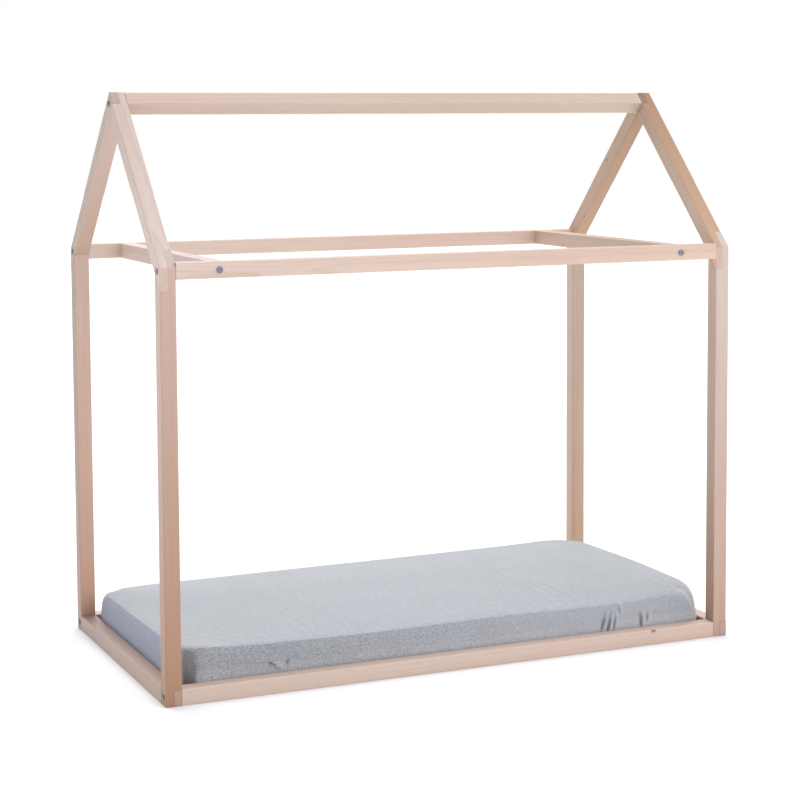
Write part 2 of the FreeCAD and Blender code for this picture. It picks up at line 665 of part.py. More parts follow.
def fasteners():
    """All bolts, barrel nuts, dowels and wood screws, in sets."""
    bolt = connector_bolt()
    nut = barrel_nut()
    pin = dowel()
    nut_x = f"{INNER_LENGTH} / 2 - Sizes.nut_setback"
    nut_y = f"{INNER_WIDTH} / 2 - Sizes.nut_setback"
    for end in (LEFT, RIGHT):
        name = END_NAMES[end]
        spots, ridge = gable_spots(end, f"{LENGTH} / 2")
        fastener_set(f"{name}_gable_bolts", bolt, [*spots, ridge])
        spots, ridge = gable_spots(end, nut_x)
        slanted = (*ridge[:3], "1; 0; 0", "Sizes.roof_pitch")
        fastener_set(f"{name}_gable_barrel_nuts", nut, [*spots, slanted])
        spots, ridge = gable_spots(end, f"{INNER_LENGTH} / 2", dowels=True)
        fastener_set(f"{name}_gable_dowels", pin, [*spots, ridge])
    for side in (FRONT, BACK):
        name = SIDE_NAMES[side]
        fastener_set(f"{name}_cross_bar_bolts", bolt, cross_spots(side, HALF_WIDTH))
        fastener_set(f"{name}_cross_bar_barrel_nuts", nut, cross_spots(side, nut_y))
        fastener_set(f"{name}_cross_bar_dowels", pin,
                     cross_spots(side, f"{INNER_WIDTH} / 2", "Sizes.dowel_offset"))
    ledger_screw = wood_screw("Sizes.ledger_screw_length")
    for side in (FRONT, BACK):
        start = f"{side} * ({INNER_WIDTH} / 2 - Sizes.ledger_width)"
        height = "Sizes.ledger_raise + Sizes.ledger_height / 2"
        spots = [(x, start, height, "0; 0; 1", f"{side * 90}") for x in ledger_screw_places()]
        fastener_set(f"{SIDE_NAMES[side]}_ledger_screws", ledger_screw, spots)
    slat_screw = wood_screw("Sizes.slat_screw_length")
    spots = [
        (slat_x(number), f"{side} * {LEDGER_Y}", SLAT_TOP, "0; 1; 0", "90")
        for number in range(int(read("slat_count")))
        for side in (FRONT, BACK)
    ]
    fastener_set("slat_screws", slat_screw, spots)


# ---------------------------------------------------------------- mattress and bedding
# The mattress's form is a loft through outlines of four shallow side arcs and four corner arcs.

def outline(half_length, half_width, corner, draw, height):
    """Closed outline with round corners, whose sides pull in towards their middles."""
    edges = []
    middles = []
    for quarter in range(4):
        angle = math.radians(45 + 90 * quarter)
        sign_x = math.copysign(1, math.cos(angle))
        sign_y = math.copysign(1, math.sin(angle))
        middles.append((Vector(sign_x * (half_length - corner), sign_y * (half_width - corner),
                               height), angle))
    for quarter, (centre, angle) in enumerate(middles):
        start, middle, finish = (
            centre + Vector(corner * math.cos(angle + turn), corner * math.sin(angle + turn), 0)
            for turn in (-math.pi / 4, 0, math.pi / 4)
        )
        edges.append(Part.Arc(start, middle, finish).toShape())
        following, next_angle = middles[(quarter + 1) % 4]
        goal = following + Vector(corner * math.cos(next_angle - math.pi / 4),
                                  corner * math.sin(next_angle - math.pi / 4), 0)
        inward = Vector(math.cos(angle + math.pi / 4), math.sin(angle + math.pi / 4), 0) * -draw
        edges.append(Part.Arc(finish, (finish + goal) / 2 + inward, goal).toShape())
    return Part.Wire(edges)


def mattress_form(grow):
    """The mattress's solid grown by a distance on every side, standing on z = 0."""
    half_length = read("mattress_length") / 2 + grow
    half_width = read("mattress_width") / 2 + grow
    corner = read("mattress_corner") + grow
    bottom = read("underside_round")
    wall = read("edge_height")
    rise = read("mattress_thickness") - wall
    reach = read("crown_reach")
    profile = []
    for step in range(ROUND_STEPS + 1):
        angle = math.radians(90 * step / ROUND_STEPS)
        profile.append((bottom * (1 - math.sin(angle)), bottom * (1 - math.cos(angle)) - grow))
    for step in range(CROWN_STEPS + 1):
        angle = math.radians(90 * step / CROWN_STEPS)
        profile.append((reach * (1 - math.cos(angle)), wall + rise * math.sin(angle) + grow))
    wires = [
        outline(half_length - inset, half_width - inset, corner + inset * CORNER_GAIN, read("side_draw"), z)
        for inset, z in profile
    ]
    return Part.makeLoft(wires, True, True)


def hem_plate(inset, low, high):
    """Flat plate inside the hem's edge, drawn in by an inset from the mattress's outline."""
    wire = outline(read("mattress_length") / 2 - inset, read("mattress_width") / 2 - inset,
                   read("mattress_corner"), STRAIGHT_DRAW, low)
    return Part.Face(wire).extrude(Vector(0, 0, high - low))


def soft_piece(label, shape):
    """Set a soft solid on the slats."""
    item = node(doc.addObject("Part::Feature", label), label)
    item.Shape = shape
    place(item, z=f"{SLAT_TOP} + 2 * Sizes.cloth_play + Sizes.sheet_thickness")


def bedding():
    """Foam core, zipped cover, fitted sheet and the elastic along its hem."""
    play = read("cloth_play")
    cloth = read("sheet_thickness")
    cover = read("cover_thickness")
    soft_piece("mattress_core", mattress_form(-cover - play))
    soft_piece("mattress_cover", mattress_form(0).cut(mattress_form(-cover)))
    mouth = read("underside_round") + read("sheet_hem")
    low = -play - cloth
    shell = mattress_form(play + cloth).cut(mattress_form(play))
    soft_piece("fitted_sheet", shell.cut(hem_plate(mouth, low - cloth, -play / 2)))
    band = hem_plate(mouth, low, -play).cut(
        hem_plate(mouth + read("elastic_width"), low - cloth, play))
    soft_piece("sheet_elastic", band)


# ---------------------------------------------------------------- the bed

for gable in (LEFT, RIGHT):
    for flank in (FRONT, BACK):
        post(gable, flank)
        rafter(gable, flank)
    end_rail(gable)
ridge_beam()
for flank in (FRONT, BACK):
    eaves_rail(flank)
    side_rail(flank)
    ledger(flank)
for gable in (LEFT, RIGHT):
    cross_bar(gable)
for index in range(int(read("slat_count"))):
    slat(index)
fasteners()
bedding()
doc.recompute()

for item in doc.Objects:
    if any(state in ("Invalid", "Error") for state in item.State):
        raise RuntimeError(f"{item.Label} is in state {item.State}")
for part in NODES:
    if part.Shape.isNull() or not part.Shape.isValid() or not part.Shape.Solids:
        raise RuntimeError(f"{part.Label} has no valid solid")

os.makedirs("parts", exist_ok=True)
for part in NODES:
    part.Shape.exportStep(f"parts/{part.Label}.step")
print(f"{len(NODES)} sub-parts, {sum(len(part.Shape.Solids) for part in NODES)} solids")
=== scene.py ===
"""Dresses a child's house frame bed: satin beech frame, slatted base, mattress in a heather jersey sheet.

Row frame, in metres: origin on the floor at the middle of the bed, +X along it, -Y the front, +Z up.
"""

import logging
import math
from dataclasses import dataclass
from enum import Enum
from typing import Sequence

import bpy
import numpy as np
from mathutils import Matrix, Vector


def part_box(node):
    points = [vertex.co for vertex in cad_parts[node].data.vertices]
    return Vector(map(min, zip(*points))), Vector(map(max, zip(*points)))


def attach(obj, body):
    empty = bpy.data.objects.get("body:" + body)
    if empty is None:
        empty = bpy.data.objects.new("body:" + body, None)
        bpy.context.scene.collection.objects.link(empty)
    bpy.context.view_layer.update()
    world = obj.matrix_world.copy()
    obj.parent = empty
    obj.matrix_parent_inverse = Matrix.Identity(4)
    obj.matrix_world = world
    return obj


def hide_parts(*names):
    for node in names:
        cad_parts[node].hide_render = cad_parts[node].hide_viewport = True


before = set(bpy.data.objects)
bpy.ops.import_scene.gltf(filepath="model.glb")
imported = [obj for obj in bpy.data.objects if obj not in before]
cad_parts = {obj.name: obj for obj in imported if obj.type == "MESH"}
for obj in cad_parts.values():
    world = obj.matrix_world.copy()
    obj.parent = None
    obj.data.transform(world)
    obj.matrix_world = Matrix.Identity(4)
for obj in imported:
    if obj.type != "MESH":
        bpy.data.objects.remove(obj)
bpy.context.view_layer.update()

log = logging.getLogger("house_frame_bed")

Colour = tuple[float, float, float]
Way = tuple[float, float, float]
PLAIN: Colour = (1.0, 1.0, 1.0)

MATTRESS = "mattress"

TO_LEFT: Way = (-1.0, 0.0, 0.0)
TO_FRONT: Way = (0.0, -1.0, 0.0)
UPWARDS: Way = (0.0, 0.0, 1.0)


# ---------------------------------------------------------------- node trees

class Term:
    """A number, vector or colour that a node gives, for use in plain arithmetic."""

    def __init__(self, graph: "Graph", socket: bpy.types.NodeSocket) -> None:
        """Hold a node's output, and the tree that it is in."""
        self.graph = graph
        self.socket = socket

    def __add__(self, other: "Source") -> "Term":
        """Return the sum."""
        return self.graph.work("ADD", self, other)

    def __mul__(self, other: "Source") -> "Term":
        """Return the product, part by part for vectors."""
        return self.graph.work("MULTIPLY", self, other)

    def __sub__(self, other: "Source") -> "Term":
        """Return the difference."""
        return self.graph.work("SUBTRACT", self, other)

    def __rsub__(self, other: "Source") -> "Term":
        """Return a plain value less this one."""
        return self.graph.work("SUBTRACT", other, self)

    def __truediv__(self, other: "Source") -> "Term":
        """Return the quotient."""
        return self.graph.work("DIVIDE", self, other)

    def __abs__(self) -> "Term":
        """Return the size without its sign."""
        return self.graph.work("ABSOLUTE", self)

    __radd__ = __add__
    __rmul__ = __mul__

    def most(self, other: "Source") -> "Term":
        """Return the larger of the two."""
        return self.graph.work("MAXIMUM", self, other)

    def eased(self, low: float, high: float, start: float = 0.0, end: float = 1.0) -> "Term":
        """Ease the number from one range into another.

        Args:
            low: the number that gives `start`.
            high: the number that gives `end`.
            start: the result at and below `low`.
            end: the result at and above `high`.

        Returns:
            The eased number.
        """
        made = self.graph.add("ShaderNodeMapRange", interpolation_type="SMOOTHSTEP")
        for name, source in zip(("Value", "From Min", "From Max", "To Min", "To Max"),
                                (self, low, high, start, end)):
            self.graph.feed(made.inputs[name], source)
        return Term(self.graph, made.outputs[0])


Source = Term | float | Colour


class Graph:
    """A material's node tree, which ends in one Principled shader."""

    def __init__(self, name: str) -> None:
        """Start the tree of a material with this name."""
        self.material = bpy.data.materials.new(name)
        self.material.use_nodes = True
        self.tree = self.material.node_tree
        self.tree.nodes.clear()
        self.shader = self.add("ShaderNodeBsdfPrincipled")
        output = self.add("ShaderNodeOutputMaterial")
        self.tree.links.new(self.shader.outputs["BSDF"], output.inputs["Surface"])

    def add(self, kind: str, **settings: object) -> bpy.types.Node:
        """Add a node and set its own options.

        Args:
            kind: Blender's name for the node type.
            settings: the node's options by name.

        Returns:
            The new node.
        """
        made = self.tree.nodes.new(kind)
        for name, setting in settings.items():
            setattr(made, name, setting)
        return made

    def feed(self, socket: bpy.types.NodeSocket, source: Source) -> None:
        """Link an input to a term, or set its value."""
        if isinstance(source, Term):
            self.tree.links.new(source.socket, socket)
        elif socket.type == "RGBA":
            socket.default_value = (*source, 1.0)
        else:
            socket.default_value = source

    def work(self, operation: str, *values: Source) -> Term:
        """Work out a number, or a vector where any of the values is one.

        Args:
            operation: what the Math or Vector Math node does.
            values: its inputs, in order.

        Returns:
            The result.
        """
        wide = any(value.socket.type != "VALUE" if isinstance(value, Term) else isinstance(value, tuple)
                   for value in values)
        made = self.add("ShaderNodeVectorMath" if wide else "ShaderNodeMath", operation=operation)
        for socket, source in zip(made.inputs, values):
            self.feed(socket, source)
        number = not wide or operation in ("LENGTH", "DOT_PRODUCT")
        return Term(self, made.outputs["Value" if number else "Vector"])

    def split(self, vector: Term) -> tuple[Term, Term, Term]:
        """Return the three parts of a vector."""
        made = self.add("ShaderNodeSeparateXYZ")
        self.feed(made.inputs[0], vector)
        return tuple(Term(self, socket) for socket in made.outputs[:3])

    def build(self, x: Source, y: Source, z: Source) -> Term:
        """Return a vector made of three parts."""
        made = self.add("ShaderNodeCombineXYZ")
        for socket, source in zip(made.inputs, (x, y, z)):
            self.feed(socket, source)
        return Term(self, made.outputs[0])

    def place(self) -> Term:
        """Return the surface's place in its object's own frame, which is the row frame at rest."""
        return Term(self, self.add("ShaderNodeTexCoord").outputs["Object"])

    def towards(self, direction: Way) -> Term:
        """Return how squarely the surface faces a direction, from -1 to 1."""
        normal = Term(self, self.add("ShaderNodeTexCoord").outputs["Normal"])
        return self.work("DOT_PRODUCT", normal, direction)

    def noise(self, at: Term, scale: float = 1.0, detail: float = 2.0, rough: float = 0.5) -> Term:
        """Return smooth noise from 0 to 1.

        Args:
            at: where the noise is read.
            scale: how many features fit in a metre, where `at` isn't scaled already.
            detail: octaves of finer noise.
            rough: strength of each finer octave.

        Returns:
            The noise.
        """
        made = self.add("ShaderNodeTexNoise")
        for name, source in zip(("Vector", "Scale", "Detail", "Roughness"), (at, scale, detail, rough)):
            self.feed(made.inputs[name], source)
        return Term(self, made.outputs[0])

    def cells(self, at: Term, scale: float = 1.0) -> tuple[Term, Term]:
        """Return the distance to the nearest scattered point, and that point's own random number."""
        made = self.add("ShaderNodeTexVoronoi")
        self.feed(made.inputs["Vector"], at)
        self.feed(made.inputs["Scale"], scale)
        return Term(self, made.outputs["Distance"]), self.split(Term(self, made.outputs["Color"]))[0]

    def mix(self, share: Source, first: Source, second: Source) -> Term:
        """Return the mix of two colours, with this share of the second."""
        made = self.add("ShaderNodeMix", data_type="RGBA")
        for number, source in zip((0, 6, 7), (share, first, second)):
            self.feed(made.inputs[number], source)
        return Term(self, made.outputs[2])

    def bump(self, height: Term, depth: float, arris: float = 0.0) -> None:
        """Raise the surface by a height from 0 to 1.

        Args:
            height: the height.
            depth: metres from 0 to 1.
            arris: the radius that sharp edges seem rounded to.
        """
        made = self.add("ShaderNodeBump")
        self.feed(made.inputs["Distance"], depth)
        self.feed(made.inputs["Height"], height)
        if arris:
            eased = self.add("ShaderNodeBevel", samples=4)
            self.feed(eased.inputs["Radius"], arris)
            self.tree.links.new(eased.outputs["Normal"], made.inputs["Normal"])
        self.tree.links.new(made.outputs["Normal"], self.shader.inputs["Normal"])

    def finish(self, colour: Source, rough: Source, **constants: float) -> bpy.types.Material:
        """Wire colour and roughness, and set the shader's constants.

        Args:
            colour: the base colour.
            rough: the roughness.
            constants: shader sockets by name, with underscores for spaces.

        Returns:
            The finished material.
        """
        self.feed(self.shader.inputs["Base Color"], colour)
        self.feed(self.shader.inputs["Roughness"], rough)
        for name, constant in constants.items():
            self.shader.inputs[name.replace("_", " ")].default_value = constant
        return self.material


# ---------------------------------------------------------------- wood

SLOPE = math.sqrt(0.5)      # sine and cosine of the roof's pitch
TURN_PER_SEED = 2.4         # radians, near the golden angle, so that no two boards are cut alike
SPREAD_PER_SEED = 0.618     # the golden share, which spreads the boards evenly
SHIFT_PER_SEED = (3.7, 1.31, 2.17)      # metres along, across and through the grain


class Grain(Enum):
    """How a member lies: the way its grain runs, and one of the ways across it."""

    LENGTHWISE = ((1.0, 0.0, 0.0), (0.0, 1.0, 0.0))
    CROSSWISE = ((0.0, 1.0, 0.0), (1.0, 0.0, 0.0))
    UPRIGHT = ((0.0, 0.0, 1.0), (1.0, 0.0, 0.0))
    FRONT_SLOPE = ((0.0, SLOPE, SLOPE), (1.0, 0.0, 0.0))
    BACK_SLOPE = ((0.0, -SLOPE, SLOPE), (1.0, 0.0, 0.0))
    RIDGE = ((1.0, 0.0, 0.0), (0.0, SLOPE, SLOPE))

    def axes(self) -> Matrix:
        """Return the matrix that turns row-frame directions into along, across and through."""
        along, across = Vector(self.value[0]), Vector(self.value[1])
        return Matrix((along, across, along.cross(across)))


@dataclass(frozen=True)
class Knot:
    """A knot that shows on a face, at a point of the row frame."""

    place: Vector
    size: float
    strength: float


@dataclass(frozen=True)
class Look:
    """What sets one board apart from the rest: the tones of its parts, partly its own and partly painted
    light and shade for how the light falls on it, and the knots that show.
    """

    start: Colour                       # at the end where its own length starts; the drift towards `end` is partly the wood's own tone and partly painted light, paler where more light falls
    end: Colour
    knots: tuple[Knot, ...] = ()
    left: Colour = PLAIN                # of the face towards -X beside the others: painted light and shade for how the light falls on that face, partly the board's own tone
    butt: float = 0.90                  # of the end grain
    slant: Colour = PLAIN               # of a lap's face that is sawn at 45 degrees to the grain: partly its own tone, partly painted light and shade for how the light falls on that face


class Board:
    """One board's node tree, with the place along, across and through its grain."""

    def __init__(self, name: str, grain: Grain, centre: Vector, seed: int) -> None:
        """Lay the grain's own axes through the board.

        Args:
            name: the member's name.
            grain: how the member lies.
            centre: the middle of the member's axis.
            seed: shifts the figure, so that no two members match.
        """
        self.graph = Graph(f"{name}_wood")
        self.grain_way = grain.value[0]
        self.turn = grain.axes()
        self.centre = centre
        self.seed = seed
        mapping = self.graph.add("ShaderNodeMapping", vector_type="POINT")
        self.graph.feed(mapping.inputs["Vector"], self.graph.place())
        mapping.inputs["Rotation"].default_value = self.turn.to_euler()
        mapping.inputs["Location"].default_value = -(self.turn @ centre)
        self.local = Term(self.graph, mapping.outputs[0])
        self.along, self.across, self.through = self.graph.split(self.local)
        self.shifted = self.local + tuple(step * seed for step in SHIFT_PER_SEED)

    def figure(self, lengthwise: float, crosswise: float, detail: float = 2.0, rough: float = 0.5) -> Term:
        """Return noise whose features follow the grain.

        Args:
            lengthwise: features in a metre along the grain.
            crosswise: features in a metre across it.
            detail: octaves of finer noise.
            rough: strength of each finer octave.

        Returns:
            The noise, from 0 to 1.
        """
        stretched = self.shifted * (lengthwise, crosswise, crosswise)
        return self.graph.noise(stretched, detail=detail, rough=rough)


@dataclass(frozen=True)
class Timber:
    """Planed timber with growth rings, fibre, flecks and end grain."""

    pale: Colour
    deep: Colour
    line: Colour
    fleck: Colour
    half_side: float            # from the member's axis to its faces
    gloss: float = 0.46         # roughness of the finish
    coat: float = 0.10
    ring_gap: float = 0.0031
    ring_share: float = 0.34    # how strongly a ring's dark edge shows
    fleck_share: float = 0.30
    arris: float = 0.0030       # width of the worn band along each edge, which also carries a painted highlight
    joint: float = 0.0019       # width of the dark line round end grain that shows in a lap
    joint_edge: float = 0.0003  # how far from the joint that line is darkest
    pith: float = 0.050         # least distance from the member's axis to the middle of its rings
    pith_spread: float = 0.030  # how much further off that may lie
    wander: float = 0.030       # how far the rings' middle strays along the board
    sway: float = 0.0036        # how far the rings ripple
    knot: Colour = (0.20, 0.085, 0.045)
    # paler colour of the edges: partly rubbed wood, partly painted highlight
    rubbed_highlight: Colour = (0.72, 0.63, 0.56)

    def rings(self, board: Board, knots: Sequence[Knot]) -> tuple[Term, Source]:
        """Draw growth rings about a pith line that lies well outside the member and wanders.

        Args:
            board: the member's board.
            knots: the knots that the rings bend round.

        Returns:
            The rings' dark edges and the knots, each from 0 to 1.
        """
        graph = board.graph
        bearing = TURN_PER_SEED * board.seed
        pith = self.pith + self.pith_spread * (SPREAD_PER_SEED * board.seed % 1.0)
        wander = (board.figure(1.6, 0.0, detail=1.0) - 0.5) * self.wander
        reach = wander + (board.figure(9.0, 45.0) - 0.5) * self.sway
        spoke = graph.build(0.0, board.across + pith * math.cos(bearing) + reach,
                            board.through + pith * math.sin(bearing) + reach)
        radius = graph.work("LENGTH", spoke)
        knot_mask: Source = 0.0
        for knot in knots:
            offset = board.local - tuple(board.turn @ (knot.place - board.centre))
            away = graph.work("LENGTH", offset * (0.62, 1.0, 1.0))
            radius = radius + away.eased(0.0, 5.0 * knot.size, 2.4 * self.ring_gap * knot.strength, 0.0)
            knot_mask = away.eased(0.35 * knot.size, knot.size, knot.strength, 0.0).most(knot_mask)
        phase = radius / self.ring_gap
        saw = graph.work("FRACT", phase)
        year = graph.noise(graph.build(graph.work("FLOOR", phase), float(board.seed), 0.0), scale=0.73)
        ring = saw.eased(0.35, 0.93) * saw.eased(0.95, 1.0, 1.0, 0.0) * year.eased(0.3, 0.7, 0.35, 1.0)
        return ring, knot_mask

    def material(self, board: Board, length: float, look: Look) -> bpy.types.Material:
        """Make the timber of one member.

        Args:
            board: the member's board.
            length: how long the member is along its grain.
            look: its own tones and knots.

        Returns:
            The member's material.
        """
        graph = board.graph
        broad = board.figure(1.1, 11.0, detail=3.0)
        streak = board.figure(3.0, 170.0, detail=4.0, rough=0.6)
        fibre = board.figure(22.0, 1500.0, detail=3.0, rough=0.6)
        ring, knot_mask = self.rings(board, look.knots)

        # short ray flecks that follow the grain
        spot, lottery = graph.cells(board.shifted * (260.0, 900.0, 900.0))
        fleck = spot.eased(0.12, 0.34, 1.0, 0.0) * lottery.eased(0.45, 0.60)

        blend = broad.eased(0.25, 0.75) * 0.55 + streak.eased(0.25, 0.75) * 0.45
        colour = graph.mix(blend, self.pale, self.deep)
        colour = graph.mix(ring * self.ring_share, colour, self.line)
        colour = graph.mix(fleck * self.fleck_share, colour, self.fleck)
        colour = colour * (fibre * 0.14 + 0.93)
        if look.knots:
            colour = graph.mix(knot_mask * 0.85, colour, self.knot)

        # end grain drinks more finish, so it is darker, with open pores
        squareness = abs(graph.towards(board.grain_way))
        end = squareness.eased(0.80, 0.95)
        pore, _ = graph.cells(board.local, scale=2100.0)
        soaked = graph.mix(0.30, colour, self.line) * (pore.eased(0.10, 0.42, 0.62, 1.0) * look.butt)
        colour = graph.mix(end, colour, soaked)

        # a dark line follows the joint round the end grain of a lap, whose halves meet at `across` 0
        aside, below = abs(board.across), abs(board.through)
        outline = aside.most(below).eased(self.half_side - self.joint, self.half_side - self.joint_edge)
        seam = aside.eased(self.joint_edge, self.joint, 1.0, 0.0)
        colour = colour * (1.0 - outline.most(seam) * end * 0.5)

        # the edges are rubbed a little paler: partly wear, partly a painted highlight along each arris
        edge = self.half_side - self.arris
        worn_lit_edge = aside.eased(edge, self.half_side) * below.eased(edge, self.half_side)
        wear_and_gleam = board.figure(30.0, 60.0).eased(0.3, 0.7, 0.04, 0.22)
        colour = graph.mix(worn_lit_edge * wear_and_gleam, colour, self.rubbed_highlight)

        # painted light and shade: the tone drifts from one end of the board to the other, partly its own
        # tone and partly paler where more light falls, and some faces are painted paler or darker for how
        # the light falls on them
        lit_drift = board.along / length + 0.5
        slanted = squareness.eased(0.50, 0.62) * (1.0 - end)
        left = graph.towards(TO_LEFT).eased(0.6, 0.9)
        colour = colour * graph.mix(lit_drift, look.start, look.end)
        colour = colour * graph.mix(slanted, PLAIN, look.slant) * graph.mix(left, PLAIN, look.left)

        rough = fibre * 0.16 + broad * 0.10 + end * 0.16 + (self.gloss - 0.13)
        graph.bump(fibre * 0.5 + ring * 0.3 - fleck * 0.4, depth=0.00012, arris=self.arris / 2)
        return graph.finish(colour, rough, Coat_Weight=self.coat, Coat_Roughness=0.32)


MEMBER_HALF = 0.019         # from a frame member's axis to its faces
BEECH = Timber(pale=(0.638, 0.492, 0.400), deep=(0.567, 0.408, 0.317), line=(0.467, 0.300, 0.212),
               fleck=(0.358, 0.208, 0.138), half_side=MEMBER_HALF)
BASE_WOOD = Timber(pale=(0.780, 0.640, 0.470), deep=(0.690, 0.520, 0.340), line=(0.560, 0.360, 0.190),
                   fleck=(0.520, 0.330, 0.180), half_side=0.0325, gloss=0.62, coat=0.0, ring_gap=0.0042,
                   ring_share=0.55, fleck_share=0.08)
DOWEL_WOOD = Timber(pale=(0.740, 0.580, 0.440), deep=(0.650, 0.470, 0.330), line=(0.540, 0.350, 0.220),
                    fleck=(0.430, 0.260, 0.160), half_side=0.004, gloss=0.66, coat=0.0, arris=0.0008)


# ---------------------------------------------------------------- other finishes

@dataclass(frozen=True)
class PlatedSteel:
    """Zinc-plated steel with a faint spangle and handling marks."""

    colour: Colour
    rough: float

    def material(self, name: str) -> bpy.types.Material:
        """Return the plated steel."""
        graph = Graph(name)
        place = graph.place()
        spangle, tint = graph.cells(place, scale=900.0)
        cloud = graph.noise(place, scale=240.0, detail=3.0)
        scratch = graph.noise(place * (4200.0, 300.0, 4200.0))
        graph.bump(spangle * 0.4 + scratch, depth=0.00003)
        return graph.finish((tint * 0.10 + cloud * 0.16 + 0.84) * self.colour,
                            cloud * 0.14 + scratch * 0.06 + (self.rough - 0.07), Metallic=1.0)


@dataclass(frozen=True)
class Foam:
    """Open-cell mattress foam."""

    colour: Colour = (0.800, 0.740, 0.560)

    def material(self, name: str) -> bpy.types.Material:
        """Return the foam, with cells of about a millimetre."""
        graph = Graph(name)
        place = graph.place()
        pit, _ = graph.cells(place, scale=900.0)
        cloud = graph.noise(place, scale=18.0, detail=3.0)
        graph.bump(pit, depth=0.0004)
        return graph.finish(pit.eased(0.05, 0.6, 0.74, 1.0) * (cloud * 0.14 + 0.93) * self.colour,
                            cloud * 0.06 + 0.88, Sheen_Weight=0.15)


@dataclass(frozen=True)
class Woven:
    """Plain-woven cloth, such as mattress ticking or elastic."""

    colour: Colour
    thread: float               # metres from one thread to the next
    slub: float = 0.10          # unevenness of the threads

    def material(self, name: str) -> bpy.types.Material:
        """Return the cloth, with threads along X and Y, or along X and Z where it stands up."""
        graph = Graph(name)
        place = graph.place()
        x, y, z = graph.split(place)
        turn = math.pi / self.thread
        warp, weft = graph.work("SINE", x * turn), graph.work("SINE", (y + z) * turn)
        over = warp * weft * 0.5 + 0.5
        uneven = graph.noise(place * (60.0, 900.0, 900.0))
        cloud = graph.noise(place, scale=14.0, detail=3.0)
        graph.bump(over + uneven * 0.5, depth=0.00015)
        shade = over * 0.12 + uneven * self.slub + cloud * 0.06 + (0.84 - self.slub / 2)
        return graph.finish(shade * self.colour, uneven * 0.10 + 0.78, Sheen_Weight=0.10)


@dataclass(frozen=True)
class HeatherJersey:
    """Cotton jersey knitted from mixed pale and dark fibres, with a soft nap."""

    ground: Colour = (0.350, 0.366, 0.386)
    pale: Colour = (0.560, 0.570, 0.570)
    dark: Colour = (0.190, 0.204, 0.226)
    blue_light_tint: Colour = (0.96, 0.97, 1.11)       # painted light: the left end is tinted bluer, as by bluish light from the left
    corner_shadow_way: Way = (-0.42, -0.91, 0.0)       # where the painted shadow by the near corner faces
    nap: float = 0.13           # painted shade and light: how much darker the front wall is at one end, and paler at the other
    stretched: float = 0.42     # painted light: how much paler the walls are at the rails' height, where the rails shade them
    corner: float = 0.40        # painted shadow: how much darker the near corner is, most at its foot
    hollow_shade: float = 0.20        # painted shade of a shallow hollow: how much darker the front wall is beside that corner
    rim: float = 0.20           # painted highlight: how much paler the top edge is
    lively: tuple[float, float] = (0.52, 0.26)          # how strongly the flecks show along the front wall
    calm: float = 0.30                                  # and elsewhere
    lively_reach: tuple[float, float] = (-0.70, 0.60)   # places along it where that change starts and ends
    drift_shade_reach: tuple[float, float] = (-0.70, 0.55)
    hollow_shade_reach: tuple[float, float] = (-0.685, -0.620)
    low_light_reach: tuple[float, float] = (0.034, 0.080)   # heights from the rails' top up
    foot_shadow_reach: tuple[float, float] = (0.045, 0.105)    # heights from the corner's foot up, over which that painted shadow fades
    wale: float = 0.0013        # metres from one column of stitches to the next
    course: float = 0.0010      # and from one row to the next

    def material(self, name: str) -> bpy.types.Material:
        """Return the jersey, with its flecks, wales and soft nap, and with painted light and shade on its
        walls and edges.
        """
        graph = Graph(name)
        x, y, z = graph.split(graph.place())
        girth = y + z
        flat = graph.build(x, girth, y - z)
        front = graph.towards(TO_FRONT).eased(0.6, 0.95)
        left = graph.towards(TO_LEFT).eased(0.6, 0.95)
        corner = graph.towards(self.corner_shadow_way).eased(0.925, 0.985)
        up = graph.towards(UPWARDS)

        patch = graph.noise(flat, scale=9.0, detail=3.0)
        mottle = graph.noise(flat * (190.0, 240.0, 240.0), detail=3.0, rough=0.62)
        hair = graph.noise(flat * (520.0, 1400.0, 1400.0), detail=3.0, rough=0.7)
        spot, lottery = graph.cells(flat * (190.0, 300.0, 300.0))
        core = spot.eased(0.10, 0.46, 1.0, 0.0)
        bright = core * lottery.eased(0.72, 0.88)
        dim = core * lottery.eased(0.12, 0.26, 1.0, 0.0)

        # the mixed fibres stand out most at the left of the front wall, and least at its right
        strength = front * (x.eased(*self.lively_reach, *self.lively) - self.calm) + self.calm
        colour = graph.mix(strength, self.ground, graph.mix(mottle.eased(0.32, 0.68), self.dark, self.pale))
        colour = graph.mix(bright * strength * 1.2, colour, self.pale)
        colour = graph.mix(dim * strength * 0.9, colour, self.dark)
        colour = colour * ((hair * 0.16 + 0.92) * (patch * 0.12 + 0.94))

        # painted light and shade: the front wall's tone drifts along it, the walls are paler low down, the
        # top edge is paler, and the near corner and the stretch beside it are darker, most at their foot
        turned = front * x.eased(*self.drift_shade_reach, -self.nap, self.nap * 0.8)
        walls = up.eased(0.2, 0.5, 1.0, 0.0) * (1.0 - corner)
        # painted light: the walls paler low down, where they lie in the rails' shade
        low = walls * z.eased(*self.low_light_reach, self.stretched, 0.0)
        # painted highlight along the top edge
        rim = up.eased(0.25, 0.65) * up.eased(0.90, 0.985, self.rim, 0.0)
        # painted shadow by the near corner and painted shade of the hollow beside it, darkest at the foot
        beside = front * x.eased(*self.hollow_shade_reach, self.hollow_shade, 0.0)
        dark = (corner * self.corner).most(beside) * z.eased(*self.foot_shadow_reach, 1.0, 0.55)
        colour = colour * ((turned + low + rim + 1.0) * (1.0 - dark))
        # painted light: the left-facing end tinted bluer
        colour = colour * graph.mix(left, PLAIN, self.blue_light_tint)

        wales = graph.work("SINE", x * (math.tau / self.wale))
        courses = graph.work("SINE", girth * (math.tau / self.course))
        stitch = wales * courses * 0.5 + 0.5
        graph.bump(stitch * 0.5 + hair * 0.5 + mottle, depth=0.00022)
        return graph.finish(colour, hair * 0.12 + 0.80, Sheen_Weight=0.22, Sheen_Roughness=0.45)


